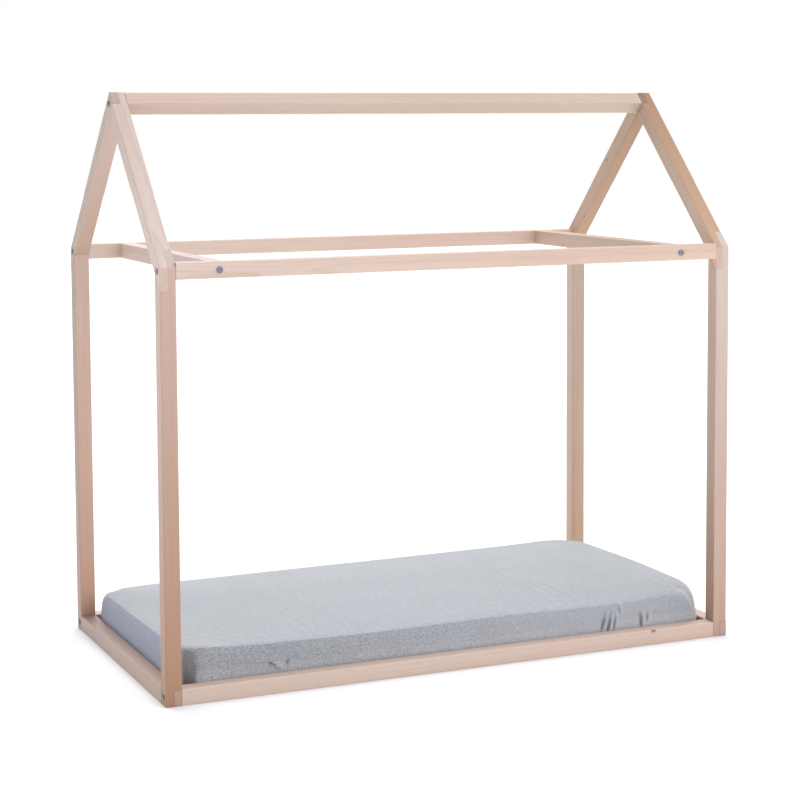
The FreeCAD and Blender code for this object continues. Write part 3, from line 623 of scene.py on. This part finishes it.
@dataclass(frozen=True)
class PaleFloor:
    """Matt studio floor."""

    colour: Colour = (0.94, 0.94, 0.94)

    def material(self, name: str) -> bpy.types.Material:
        """Return the floor's paint, with the faintest unevenness."""
        graph = Graph(name)
        place = graph.place()
        cloud = graph.noise(place, scale=1.4, detail=3.0)
        grit = graph.noise(place, scale=160.0)
        graph.bump(grit, depth=0.0001)
        return graph.finish((cloud * 0.012 + 0.994) * self.colour, grit * 0.05 + 0.86,
                            Specular_IOR_Level=0.2)


# ---------------------------------------------------------------- helpers for pieces

def dress(name: str, material: bpy.types.Material) -> None:
    """Give a CAD node its finish.

    Args:
        name: the node's name.
        material: its new material.
    """
    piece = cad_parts[name]
    for holder in piece.material_slots:
        holder.material = material
    log.info("%s: %s", name, material.name)


def new_piece(name: str, points: np.ndarray, faces: Sequence[Sequence[int]],
              material: bpy.types.Material) -> bpy.types.Object:
    """Make a smooth-shaded mesh piece.

    Args:
        name: the piece's name.
        points: its vertices, in the row frame.
        faces: its faces, as vertex numbers.
        material: its material.

    Returns:
        The new object.
    """
    mesh = bpy.data.meshes.new(name)
    mesh.from_pydata(points.tolist(), [], [list(face) for face in faces])
    mesh.validate()
    mesh.polygons.foreach_set("use_smooth", [True] * len(mesh.polygons))
    mesh.materials.append(material)
    piece = bpy.data.objects.new(name, mesh)
    bpy.context.scene.collection.objects.link(piece)
    return piece


# ---------------------------------------------------------------- the frame

# tones of each board: partly the wood's own tone, partly painted light and shade for how the light falls on
# each board and on some of its faces
LOOKS: dict[str, Look] = {
    "left_front_post": Look((0.64, 0.46, 0.32), (0.97, 0.90, 0.92),
                            (Knot(Vector((-0.7305, -0.392, 0.948)), 0.007, 0.35),),
                            left=(1.08, 1.10, 1.15), slant=(1.03, 1.19, 1.24)),
    "left_back_post": Look((0.97, 0.78, 0.68), (0.98, 0.94, 0.95), left=(0.66, 0.69, 0.69)),
    "left_front_rafter": Look((1.12, 1.23, 1.36), (0.99, 1.05, 1.12),
                              left=(1.08, 1.02, 1.00), slant=(0.88, 0.82, 0.76)),
    "left_back_rafter": Look((0.83, 0.74, 0.66), (0.98, 0.99, 1.09), left=(0.95, 0.96, 0.94)),
    "left_end_rail": Look((0.71, 0.63, 0.58), (0.61, 0.55, 0.57), left=(1.22, 1.26, 1.32), butt=1.16),
    "right_front_post": Look((0.82, 0.71, 0.62), (1.08, 1.18, 1.24), left=(0.87, 0.81, 0.78)),
    "right_back_post": Look((0.90, 0.76, 0.60), (0.77, 0.77, 0.76), left=(1.26, 1.32, 1.42)),
    "right_front_rafter": Look((0.98, 0.82, 0.66), (0.67, 0.52, 0.37),
                               left=(1.23, 1.43, 1.69), slant=(1.05, 1.15, 1.40)),
    "right_back_rafter": Look((0.85, 0.66, 0.54), (0.60, 0.51, 0.39),
                              (Knot(Vector((0.704, 0.162, 1.203)), 0.005, 0.8),), left=(1.31, 1.50, 1.68)),
    "ridge_beam": Look((0.98, 0.98, 1.01), (1.02, 1.08, 1.05)),
    "front_eaves_rail": Look((1.09, 1.14, 1.20), (1.16, 1.12, 1.06)),
    "back_eaves_rail": Look((1.11, 1.18, 1.21), (1.22, 1.19, 1.21)),
    "left_cross_bar": Look((1.02, 1.02, 1.17), (1.05, 1.06, 1.12)),
    "right_cross_bar": Look((0.88, 0.89, 0.86), (1.03, 0.95, 0.86)),
    "front_side_rail": Look((1.08, 1.13, 1.17), (1.07, 1.07, 1.06),
                            (Knot(Vector((0.528, -0.392, 0.0350)), 0.0062, 1.0),)),
}


PLAIN_TONE = 0.95           # of a board that has no look of its own
TONE_SPREAD = 0.05          # how much paler one end of it may be, and how much darker the other
TONE_PER_SEED = 2.1         # radians of the swing between them


def dress_member(name: str, grain: Grain, seed: int, timber: Timber = BEECH) -> None:
    """Dress a member whose box has its axis in the middle.

    Args:
        name: the member's node.
        grain: how it lies.
        seed: shifts the wood's figure.
        timber: what it is made of.
    """
    low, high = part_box(name)
    length = Vector(grain.value[0]).dot(high - low)
    paler = TONE_SPREAD * math.sin(TONE_PER_SEED * seed)
    plain = Look((PLAIN_TONE + paler,) * 3, (PLAIN_TONE - paler,) * 3)
    board = Board(name, grain, (low + high) / 2, seed)
    dress(name, timber.material(board, length, LOOKS.get(name, plain)))


@dataclass
class GableFrame:
    """One end of the house: two posts, two rafters and the end rail, half-lapped together."""

    end: str
    first_seed: int

    def dress(self) -> None:
        """Give each member its own piece of beech."""
        seed = self.first_seed
        for side in ("front", "back"):
            dress_member(f"{self.end}_{side}_post", Grain.UPRIGHT, seed)
            self.rafter(side, seed + 1)
            seed += 2
        dress_member(f"{self.end}_end_rail", Grain.CROSSWISE, seed)

    def rafter(self, side: str, seed: int) -> None:
        """Dress a rafter, whose axis runs half its plumb depth under the roof's plane.

        Args:
            side: front or back.
            seed: shifts the wood's figure.
        """
        name = f"{self.end}_{side}_rafter"
        low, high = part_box(name)
        grain = Grain.FRONT_SLOPE if side == "front" else Grain.BACK_SLOPE
        eaves = low.y if side == "front" else high.y
        plumb = 2 * MEMBER_HALF / SLOPE
        centre = Vector(((low.x + high.x) / 2, eaves / 2, high.z - abs(eaves) / 2 - plumb / 2))
        board = Board(name, grain, centre, seed)
        dress(name, BEECH.material(board, abs(eaves) / SLOPE, LOOKS[name]))


@dataclass
class LongMembers:
    """The ridge, the eaves rails, the side rails and the cross bars."""

    first_seed: int = 20

    def dress(self) -> None:
        """Give each long member its own piece of beech."""
        lay = {
            "ridge_beam": Grain.RIDGE,
            "front_eaves_rail": Grain.LENGTHWISE,
            "back_eaves_rail": Grain.LENGTHWISE,
            "front_side_rail": Grain.LENGTHWISE,
            "back_side_rail": Grain.LENGTHWISE,
            "left_cross_bar": Grain.CROSSWISE,
            "right_cross_bar": Grain.CROSSWISE,
        }
        for seed, (name, grain) in enumerate(lay.items(), start=self.first_seed):
            dress_member(name, grain, seed)


@dataclass
class SlattedBase:
    """The ledger strips and the slats that carry the mattress."""

    first_seed: int = 40

    def dress(self) -> None:
        """Give the ledgers and the slats their plain sawn wood."""
        ledgers = ["front_slat_ledger", "back_slat_ledger"]
        slats = sorted(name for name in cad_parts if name.startswith("slat_") and name[5:].isdigit())
        for seed, name in enumerate(ledgers + slats, start=self.first_seed):
            grain = Grain.LENGTHWISE if name in ledgers else Grain.CROSSWISE
            dress_member(name, grain, seed, BASE_WOOD)


@dataclass
class Fasteners:
    """Connector bolts, barrel nuts, dowels and wood screws."""

    zinc: PlatedSteel = PlatedSteel((0.24, 0.25, 0.28), 0.27)
    screw: PlatedSteel = PlatedSteel((0.60, 0.58, 0.52), 0.34)

    def dress(self) -> None:
        """Finish every set of fasteners by what it is made of."""
        zinc = self.zinc.material("zinc_plate")
        screw = self.screw.material("screw_plate")
        for name in sorted(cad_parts):
            if name.endswith(("_bolts", "_barrel_nuts")):
                dress(name, zinc)
            elif name.endswith("_screws"):
                dress(name, screw)
            elif name.endswith("_dowels"):
                grain = Grain.CROSSWISE if "cross_bar" in name else Grain.LENGTHWISE
                dress_member(name, grain, len(name), DOWEL_WOOD)


# ---------------------------------------------------------------- the mattress

HEAD_TURN = (0.25, 0.50, 0.75, 1.0)     # shares of the turn from the top into the wall
FOOT_TURN = (30.0, 60.0, 90.0)          # degrees of the turn from the wall under the mattress


@dataclass(frozen=True)
class Sag:
    """How far an edge of the top lies below the crown, by the place along it."""

    places: tuple[float, ...]
    drops: tuple[float, ...]
    ease: float = 0.030         # spacing of the readings that are averaged, which rounds the changes

    def at(self, place: np.ndarray) -> np.ndarray:
        """Return the drop at places along the edge."""
        readings = [np.interp(place + step * self.ease, self.places, self.drops) for step in range(-2, 3)]
        return sum(readings) / len(readings)


@dataclass
class MattressForm:
    """The mattress's outer form: walls folded over a crowned top whose edges sag unevenly."""

    half_length: float
    half_width: float
    base: float                     # height of the underside
    top: float                      # height of the crown
    corner: float = 0.050           # plan radius of the walls' corners
    top_corner: float = 0.056       # plan radius of the top edge at the corners
    fold: float = 0.0040            # how far in the top edge's fold reaches
    lean: float = 0.0020            # how far in the wall leans at its head
    draw: float = 0.003             # how far each side pulls in between its corners
    side_reach: float = 0.27        # how far in the crown rises from the long edges
    end_reach: float = 0.20
    corner_reach: float = 0.13      # how far along each edge a corner's softening reaches
    underside_round: float = 0.008
    cell: float = 0.0085
    front_sag: Sag = Sag((-0.68, -0.62, -0.55, -0.40, -0.20, 0.0, 0.12, 0.30, 0.42, 0.52, 0.62),
                         (0.001, 0.006, 0.012, 0.015, 0.018, 0.016, 0.014, 0.017, 0.018, 0.014, 0.009))
    back_sag: Sag = Sag((-0.64, -0.57, -0.42, -0.14, 0.15, 0.47, 0.60),
                        (0.021, 0.018, 0.018, 0.016, 0.015, 0.013, 0.010))
    left_sag: Sag = Sag((-0.30, -0.19, -0.11, -0.03, 0.04, 0.11, 0.23),
                        (0.004, 0.007, 0.009, 0.009, 0.012, 0.013, 0.011))
    right_sag: Sag = Sag((-0.24, -0.14, -0.04, 0.07, 0.18, 0.27),
                         (0.006, 0.004, 0.002, 0.004, 0.0065, 0.009))
    # how far each corner is rounded off: front left, front right, back left, back right
    softening: tuple[float, ...] = (0.001, 0.035, 0.028, 0.016)
    slump: float = 0.6              # how much further down than in a soft corner reaches
    bevel: float = 0.3              # how flat a soft corner is, from 0, round, to 1

    @property
    def counts(self) -> tuple[int, int]:
        """Cells along the length and across the width."""
        return round(2 * self.half_length / self.cell), round(2 * self.half_width / self.cell)

    def plan(self, u: np.ndarray, v: np.ndarray, inset: np.ndarray | float,
             corner: float) -> tuple[np.ndarray, np.ndarray]:
        """Place points of a square in the mattress's plan, square corners going to round ones.

        Args:
            u: from -1 to 1 along the length.
            v: from -1 to 1 across the width.
            inset: how far the outline lies inside the wall.
            corner: the outline's corner radius.

        Returns:
            The points' x and y.
        """
        length, width = self.half_length - inset, self.half_width - inset
        x, y = np.abs(u) * length, np.abs(v) * width
        a = np.clip((x - length + corner) / corner, 0, 1)
        b = np.clip((y - width + corner) / corner, 0, 1)
        x = np.minimum(x, length - corner) + corner * a * np.sqrt(1 - b * b / 2)
        y = np.minimum(y, width - corner) + corner * b * np.sqrt(1 - a * a / 2)
        pulled_x = x - self.draw * (1 - (y / width) ** 2) * x / length
        pulled_y = y - self.draw * (1 - (x / length) ** 2) * y / width
        return np.sign(u) * pulled_x, np.sign(v) * pulled_y

    def crown(self, x: np.ndarray, y: np.ndarray) -> np.ndarray:
        """Return the height of the top at places in plan."""
        inset = self.fold + self.lean

        def near(gap: np.ndarray, reach: float) -> np.ndarray:
            """Return how near an edge is, from 0 to 1, easing in."""
            return (1 - np.clip((gap - inset) / reach, 0, 1)) ** 2

        drops = (near(self.half_width + y, self.side_reach) * self.front_sag.at(x),
                 near(self.half_width - y, self.side_reach) * self.back_sag.at(x),
                 near(self.half_length + x, self.end_reach) * self.left_sag.at(y),
                 near(self.half_length - x, self.end_reach) * self.right_sag.at(y))
        return self.top - sum(drop ** 3 for drop in drops) ** (1 / 3)

    def fold_inset(self, u: np.ndarray, v: np.ndarray) -> np.ndarray:
        """Return how far in the top's outline lies, which is more at the soft corners."""
        along = np.clip((np.abs(u) - 1) * self.half_length / self.corner_reach + 1, 0, 1)
        across = np.clip((np.abs(v) - 1) * self.half_width / self.corner_reach + 1, 0, 1)
        ease = (along * across) ** 2
        soft = np.choose((u > 0) + 2 * (v > 0), self.softening)
        return self.fold + self.lean + soft * ease

    def rim(self) -> tuple[np.ndarray, np.ndarray]:
        """Return the square's border points in order round it, as indices of the top's grid."""
        columns, rows = self.counts
        i = [*range(columns), *[columns] * rows, *range(columns, 0, -1), *[0] * rows]
        j = [*[0] * columns, *range(rows), *[rows] * columns, *range(rows, 0, -1)]
        return np.array(i), np.array(j)

    def ring(self, u: np.ndarray, v: np.ndarray, inset: float, height: np.ndarray | float) -> np.ndarray:
        """Return the square's border laid at an inset from the wall and at a height."""
        x, y = self.plan(u, v, inset, self.corner)
        return np.stack([x, y, np.broadcast_to(height, x.shape)], axis=1)

    def wall(self, u: np.ndarray, v: np.ndarray, edge: np.ndarray, hem: float | None) -> list[np.ndarray]:
        """Lay rings of points from the top's edge down the wall and in underneath.

        Args:
            u: where the border's points lie along the length, from -1 to 1.
            v: where they lie across the width.
            edge: the points of the top's edge.
            hem: how far the last ring lies in from the turned foot, or None to end there.

        Returns:
            The rings, from the top down.
        """
        soft = self.fold_inset(u, v) - self.fold - self.lean
        outwards = self.ring(u, v, self.lean, 0.0) - edge
        reach = np.hypot(outwards[:, 0], outwards[:, 1])
        fall = reach + soft * self.slump
        flat = self.bevel * soft / reach
        rings = []
        for share in HEAD_TURN:
            angle = share * math.pi / 2
            out = (1 - flat) * math.sin(angle) + flat * share
            down = (1 - flat) * (1 - math.cos(angle)) + flat * share
            swing = edge + outwards * out[:, None]
            swing[:, 2] = edge[:, 2] - fall * down
            rings.append(swing)
        wall_top = edge[:, 2] - fall
        foot = self.base + self.underside_round
        wall_rows = round((wall_top.mean() - foot) / self.cell)
        for step in range(1, wall_rows + 1):
            share = step / wall_rows
            height = wall_top + (foot - wall_top) * share
            rings.append(self.ring(u, v, self.lean * (1 - share) ** 2, height))
        for angle in np.radians(FOOT_TURN):
            inset = self.underside_round * (1 - math.cos(angle))
            height = self.base + self.underside_round * (1 - math.sin(angle))
            rings.append(self.ring(u, v, inset, height))
        hem_rows = 0 if hem is None else round(hem / self.cell)
        for step in range(1, hem_rows + 1):
            rings.append(self.ring(u, v, self.underside_round + hem * step / hem_rows, self.base))
        return rings

    def skin(self, hem: float | None) -> tuple[np.ndarray, list[tuple[int, ...]], np.ndarray]:
        """Mesh the form's surface.

        Args:
            hem: how far the surface turns in underneath, or None for a closed form.

        Returns:
            The points, the faces, and each point's row: 0 on the top, then counted down the wall.
        """
        columns, rows = self.counts
        u, v = np.meshgrid(np.linspace(-1, 1, columns + 1), np.linspace(-1, 1, rows + 1), indexing="ij")
        x, y = self.plan(u, v, self.fold_inset(u, v), self.top_corner)
        top = np.stack([x, y, self.crown(x, y)], axis=-1)
        i, j = self.rim()
        rings = self.wall(u[i, j], v[i, j], top[i, j], hem)
        points = [top.reshape(-1, 3), *rings]
        row_of = [np.full(len(part), row) for row, part in enumerate(points)]

        number = np.arange(u.size).reshape(u.shape)
        faces = self.quads(number)
        before = number[i, j]
        start = u.size
        for _ in rings:
            after = np.arange(start, start + len(i))
            faces += zip(before, after, np.roll(after, -1), np.roll(before, -1))
            before = after
            start += len(i)
        if hem is None:
            under = np.full(u.shape, -1)
            under[i, j] = before
            inside = under < 0
            count = inside.sum()
            under[inside] = start + np.arange(count)
            under_x, under_y = self.plan(u[inside], v[inside], self.underside_round, self.corner)
            points.append(np.stack([under_x, under_y, np.full(count, self.base)], axis=1))
            row_of.append(np.full(count, len(rings) + 1))
            faces += [face[::-1] for face in self.quads(under)]
        faces = [tuple(int(corner) for corner in face) for face in faces]
        return np.concatenate(points), faces, np.concatenate(row_of)

    @staticmethod
    def quads(number: np.ndarray) -> list[tuple[int, ...]]:
        """Return the faces of a grid of vertex numbers, facing up."""
        corners = (number[:-1, :-1], number[1:, :-1], number[1:, 1:], number[:-1, 1:])
        return list(zip(*(corner.ravel() for corner in corners)))


def mattress_form(grow: float = 0.0) -> MattressForm:
    """Return the form of the CAD mattress cover, grown or shrunk by a distance."""
    low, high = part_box("mattress_cover")
    return MattressForm(half_length=high.x + grow, half_width=high.y + grow,
                        base=low.z - grow, top=high.z + grow)


@dataclass
class Mattress:
    """Foam core in a zipped ticking cover."""

    cover_thickness: float = 0.0023
    core_cell: float = 0.020
    fill: float = 0.8           # how much of its closed form the padding fills

    def build(self) -> bpy.types.Object:
        """Make the core and the cover.

        Returns:
            The cover, which the sheet is stretched over.
        """
        core_form = mattress_form(-self.cover_thickness)
        core_form.cell = self.core_cell
        points, faces, _ = core_form.skin(None)
        core = new_piece("foam_core", points, faces, Foam().material("foam"))
        self.hold(core, "mattress_core", "foam")
        points, faces, _ = mattress_form().skin(None)
        ticking = Woven((0.84, 0.84, 0.82), thread=0.0008).material("ticking")
        cover = new_piece("zipped_cover", points, faces, ticking)
        self.hold(cover, "mattress_cover", "ticking")
        return cover

    def hold(self, piece: bpy.types.Object, node: str, slot: str) -> None:
        """Let a piece stand for its CAD node and ride on the mattress."""
        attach(piece, MATTRESS)
        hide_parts(node)
        log.info("%s: %d faces", piece.name, len(piece.data.polygons))


@dataclass(frozen=True)
class Fold:
    """A small fold in the sheet's front wall, as a rounded ridge."""

    x: float
    z: float
    lean: float                 # degrees that its head leans to the right
    half_width: float
    half_length: float
    height: float

    def lift(self, points: np.ndarray) -> np.ndarray:
        """Return how far the fold raises each point off the wall."""
        turn = math.radians(self.lean)
        right, up = points[:, 0] - self.x, points[:, 2] - self.z
        aside = right * math.cos(turn) - up * math.sin(turn)
        ahead = right * math.sin(turn) + up * math.cos(turn)
        return self.height * np.exp(-(aside / self.half_width) ** 2 - (ahead / self.half_length) ** 2)


@dataclass
class FittedSheet:
    """Jersey sheet stretched over the mattress, with an elastic along its hem."""

    gap: float = 0.0009         # from the cover to the middle of the cloth
    thickness: float = 0.0012
    hem: float = 0.070
    slack: float = 0.004        # share by which the cloth is larger than the mattress
    last_frame: int = 24
    most_lift: float = 0.003    # cap on how far the simulation moves a point
    held_rows: int = 6          # rows of the wall's foot that are pinned, easing in over `ease_rows`
    ease_rows: int = 4
    elastic_width: float = 0.006
    elastic_waves: int = 240
    elastic_swell: float = 0.0004       # share by which the elastic's waves swing in and out
    fold_depth: float = 0.008   # how far in from the front the wall that can hold folds reaches
    folds: tuple[Fold, ...] = (
        Fold(-0.4636, 0.057, -62.0, 0.0050, 0.015, 0.0070),
        Fold(-0.4300, 0.060, 20.0, 0.0040, 0.010, 0.0025),
        Fold(0.4120, 0.062, 14.0, 0.0038, 0.022, 0.0042),
        Fold(0.4280, 0.058, 10.0, 0.0038, 0.024, 0.0055),
        Fold(0.4430, 0.058, 6.0, 0.0038, 0.020, 0.0040),
        Fold(0.4560, 0.090, -14.0, 0.0040, 0.012, 0.0028),
        Fold(0.5200, 0.056, -6.0, 0.0040, 0.018, 0.0042),
        Fold(0.5380, 0.062, 10.0, 0.0040, 0.014, 0.0030),
    )

    def build(self, cover: bpy.types.Object) -> bpy.types.Object:
        """Make the sheet and its elastic.

        Args:
            cover: the mattress cover, which the cloth lies on.

        Returns:
            The sheet.
        """
        form = mattress_form(self.gap)
        points, faces, row_of = form.skin(self.hem)
        sheet = new_piece("jersey_sheet", points, faces, HeatherJersey().material("heather_jersey"))
        self.settle(sheet, cover, row_of, round(self.hem / form.cell))
        self.refine(sheet)
        self.crease(sheet, form)
        shell = sheet.modifiers.new("Thickness", "SOLIDIFY")
        shell.thickness = self.thickness
        shell.offset = 0.0
        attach(sheet, MATTRESS)
        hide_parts("fitted_sheet")
        elastic = self.elastic(form)
        wall = form.top - form.base
        side = wall + self.hem
        flat = (2 * (form.half_width + side), 2 * (form.half_length + side))
        area = flat[0] * flat[1] - 4 * side * side
        log.info("%s: %d faces, cut %.3f by %.3f m", sheet.name, len(sheet.data.polygons), *flat)
        return sheet

    def settle(self, sheet: bpy.types.Object, cover: bpy.types.Object, row_of: np.ndarray,
               hem_rows: int) -> None:
        """Let the slack cloth settle on the mattress under its own weight, and keep the result.

        Args:
            sheet: the sheet's object.
            cover: what it lies on.
            row_of: each point's row, counted down from the top.
            hem_rows: how many of the last rows are the hem underneath.
        """
        scene = bpy.context.scene
        wall_end = row_of.max() - hem_rows - len(FOOT_TURN)
        hold = np.clip((row_of - (wall_end - self.held_rows)) / self.ease_rows, 0.0, 1.0)
        pins = sheet.vertex_groups.new(name="pins")
        for number, weight in enumerate(hold):
            if weight > 0:
                pins.add([number], float(weight), "REPLACE")
        cloth = sheet.modifiers.new("Cloth", "CLOTH")
        settings = cloth.settings
        settings.quality = 6
        settings.mass = 0.12
        settings.air_damping = 2.0
        settings.tension_stiffness = settings.compression_stiffness = 12.0
        settings.shear_stiffness = 4.0
        settings.bending_stiffness = 3.0
        settings.vertex_group_mass = pins.name
        settings.shrink_min = settings.shrink_max = -self.slack
        cloth.collision_settings.distance_min = 0.0006
        cloth.point_cache.frame_end = self.last_frame
        block = cover.modifiers.new("Collision", "COLLISION")
        cover.collision.thickness_outer = 0.0004
        cover.collision.cloth_friction = 12.0
        start = self.read_points(sheet.data)
        for number in range(1, self.last_frame + 1):
            scene.frame_set(number)
        evaluated = sheet.evaluated_get(bpy.context.evaluated_depsgraph_get())
        moved = self.read_points(evaluated.data) - start
        sheet.modifiers.remove(cloth)
        cover.modifiers.remove(block)
        scene.frame_set(1)
        length = np.linalg.norm(moved, axis=1, keepdims=True)
        capped = moved * np.minimum(1.0, self.most_lift / np.maximum(length, 1e-9))
        self.write_points(sheet.data, start + capped)
        log.info("%s settled: moved %.1f mm at most, %.1f mm on average", sheet.name,
                 1000 * length.max(), 1000 * length.mean())

    def refine(self, sheet: bpy.types.Object) -> None:
        """Halve the sheet's cells, smoothly, and keep the result."""
        smooth = sheet.modifiers.new("Subdivision", "SUBSURF")
        smooth.levels = 1
        coarse = sheet.data
        evaluated = sheet.evaluated_get(bpy.context.evaluated_depsgraph_get())
        fine = bpy.data.meshes.new_from_object(evaluated)
        sheet.modifiers.remove(smooth)
        sheet.data = fine
        fine.name = coarse.name
        bpy.data.meshes.remove(coarse)

    def crease(self, sheet: bpy.types.Object, form: MattressForm) -> None:
        """Raise the small folds on the front wall.

        Args:
            sheet: the sheet's object.
            form: the form that it is stretched over.
        """
        points = self.read_points(sheet.data)
        front = points[:, 1] < self.fold_depth - form.half_width
        front &= np.abs(points[:, 0]) < form.half_length - form.corner
        front &= points[:, 2] > form.base + form.underside_round
        for fold in self.folds:
            points[:, 1] -= np.where(front, fold.lift(points), 0.0)
        self.write_points(sheet.data, points)

    def elastic(self, form: MattressForm) -> bpy.types.Object:
        """Make the flat elastic that draws the hem in.

        Args:
            form: the sheet's form.

        Returns:
            The elastic.
        """
        rim_i, rim_j = form.rim()
        columns, rows = form.counts
        u, v = 2 * rim_i / columns - 1, 2 * rim_j / rows - 1
        start = form.underside_round + self.hem - self.thickness
        end = start + self.elastic_width
        low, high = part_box("sheet_elastic")
        count = len(u)
        wave = np.sin(np.linspace(0, math.tau * self.elastic_waves, count, endpoint=False))
        points = np.concatenate([form.ring(u, v, inset, height) for inset, height in
                                 ((start, low.z), (end, low.z), (end, high.z), (start, high.z))])
        points[:, :2] *= 1 + self.elastic_swell * np.tile(wave, 4)[:, None]
        faces = []
        for side in range(4):
            for number in range(count):
                following = (number + 1) % count
                across = (side + 1) % 4
                faces.append((side * count + number, side * count + following,
                              across * count + following, across * count + number))
        braid = Woven((0.80, 0.80, 0.80), thread=0.0006, slub=0.2).material("braided_elastic")
        band = new_piece("hem_elastic", points, faces, braid)
        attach(band, MATTRESS)
        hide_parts("sheet_elastic")
        log.info("%s: %d faces", band.name, len(faces))
        return band

    @staticmethod
    def read_points(mesh: bpy.types.Mesh) -> np.ndarray:
        """Return a mesh's vertices."""
        flat = np.empty(3 * len(mesh.vertices), np.float32)
        mesh.vertices.foreach_get("co", flat)
        return flat.reshape(-1, 3).astype(float)

    @staticmethod
    def write_points(mesh: bpy.types.Mesh, points: np.ndarray) -> None:
        """Set a mesh's vertices."""
        mesh.vertices.foreach_set("co", points.astype(np.float32).ravel())
        mesh.update()


# ---------------------------------------------------------------- the studio

@dataclass
class Studio:
    """Pale floor, soft light and the camera."""

    eye: Vector = Vector((-2.00283, -4.59410, 1.32006))
    ahead: Vector = Vector((0.40663337, 0.90989611, -0.08208765))
    right: Vector = Vector((0.91280895, -0.40835973, -0.00470663))
    focal_pixels: float = 1975.227
    optical_centre: tuple[float, float] = (414.429, 281.015)
    picture: float = 800.0          # pixels on a side
    sensor: float = 36.0
    floor_half: float = 30.0
    cast: float = 0.41              # strength of the light that the white room throws
    cast_tint: Colour = (0.96, 1.0, 1.04)
    spread: float = 60.0            # angular size of each light in degrees

    def build(self) -> None:
        """Set up everything that isn't the bed."""
        self.lay_floor()
        self.light()
        self.aim_camera()

    def lay_floor(self) -> None:
        """Lay a wide floor."""
        half = self.floor_half
        corners = np.array([(-half, -half, 0.0), (half, -half, 0.0), (half, half, 0.0), (-half, half, 0.0)])
        floor = new_piece("studio_floor", corners, [(0, 1, 2, 3)], PaleFloor().material("floor_paint"))

    def light(self) -> None:
        """Light the bed softly from above, mostly from behind and from the right."""
        scene = bpy.context.scene
        scene.view_settings.view_transform = "Standard"
        world = bpy.data.worlds.new("studio_white")
        world.use_nodes = True
        scene.world = world
        nodes, links = world.node_tree.nodes, world.node_tree.links
        nodes.clear()
        path = nodes.new("ShaderNodeLightPath")
        pick = nodes.new("ShaderNodeMixShader")
        output = nodes.new("ShaderNodeOutputWorld")
        links.new(path.outputs["Is Camera Ray"], pick.inputs[0])
        links.new(pick.outputs[0], output.inputs["Surface"])
        # the light that is cast, then the white that the camera sees
        for socket, strength, tint in ((pick.inputs[1], self.cast, self.cast_tint),
                                       (pick.inputs[2], 1.0, PLAIN)):
            background = nodes.new("ShaderNodeBackground")
            background.inputs["Strength"].default_value = strength
            background.inputs["Color"].default_value = (*tint, 1.0)
            links.new(background.outputs[0], socket)
        self.sun("top_light", (0.0, 0.0, 1.0), 0.72)
        self.sun("back_light", (0.0, 1.0, 1.0), 2.20)
        self.sun("right_light", (1.0, 0.0, 0.3), 1.50)
        self.sun("front_light", (1.0, -1.0, 0.7), 1.16, (1.0, 0.97, 1.09))
        self.sun("left_light", (-1.0, 0.0, 0.3), 0.20, (0.15, 0.45, 1.0))

    def sun(self, name: str, source: Way, strength: float, tint: Colour = PLAIN) -> None:
        """Add soft light that reaches the whole floor alike.

        Args:
            name: the light's name.
            source: the direction that it comes from.
            strength: watts per square metre.
            tint: its colour.
        """
        data = bpy.data.lights.new(name, "SUN")
        data.energy = strength
        data.color = tint
        data.angle = math.radians(self.spread)
        light = bpy.data.objects.new(name, data)
        light.rotation_euler = Vector(source).to_track_quat("Z", "Y").to_euler()
        bpy.context.scene.collection.objects.link(light)

    def aim_camera(self) -> None:
        """Put the camera where the photograph was taken from."""
        data = bpy.data.cameras.new("camera")
        data.sensor_width = self.sensor
        data.lens = self.focal_pixels / self.picture * self.sensor
        data.shift_x = (self.picture / 2 - self.optical_centre[0]) / self.picture
        data.shift_y = (self.optical_centre[1] - self.picture / 2) / self.picture
        data.clip_end = 200.0
        camera = bpy.data.objects.new("camera", data)
        up = self.right.cross(self.ahead)
        turn = Matrix((self.right, up, -self.ahead)).transposed()
        camera.matrix_world = Matrix.Translation(self.eye) @ turn.to_4x4()
        bpy.context.scene.collection.objects.link(camera)
        bpy.context.scene.camera = camera


def main() -> None:
    """Dress the whole bed, in order, and set up the studio."""
    logging.basicConfig(level=logging.INFO, format="%(name)s: %(message)s")
    Studio().build()
    GableFrame("left", first_seed=1).dress()
    GableFrame("right", first_seed=8).dress()
    LongMembers().dress()
    SlattedBase().dress()
    Fasteners().dress()
    cover = Mattress().build()
    FittedSheet().build(cover)


if __name__ == "__main__":
    main()
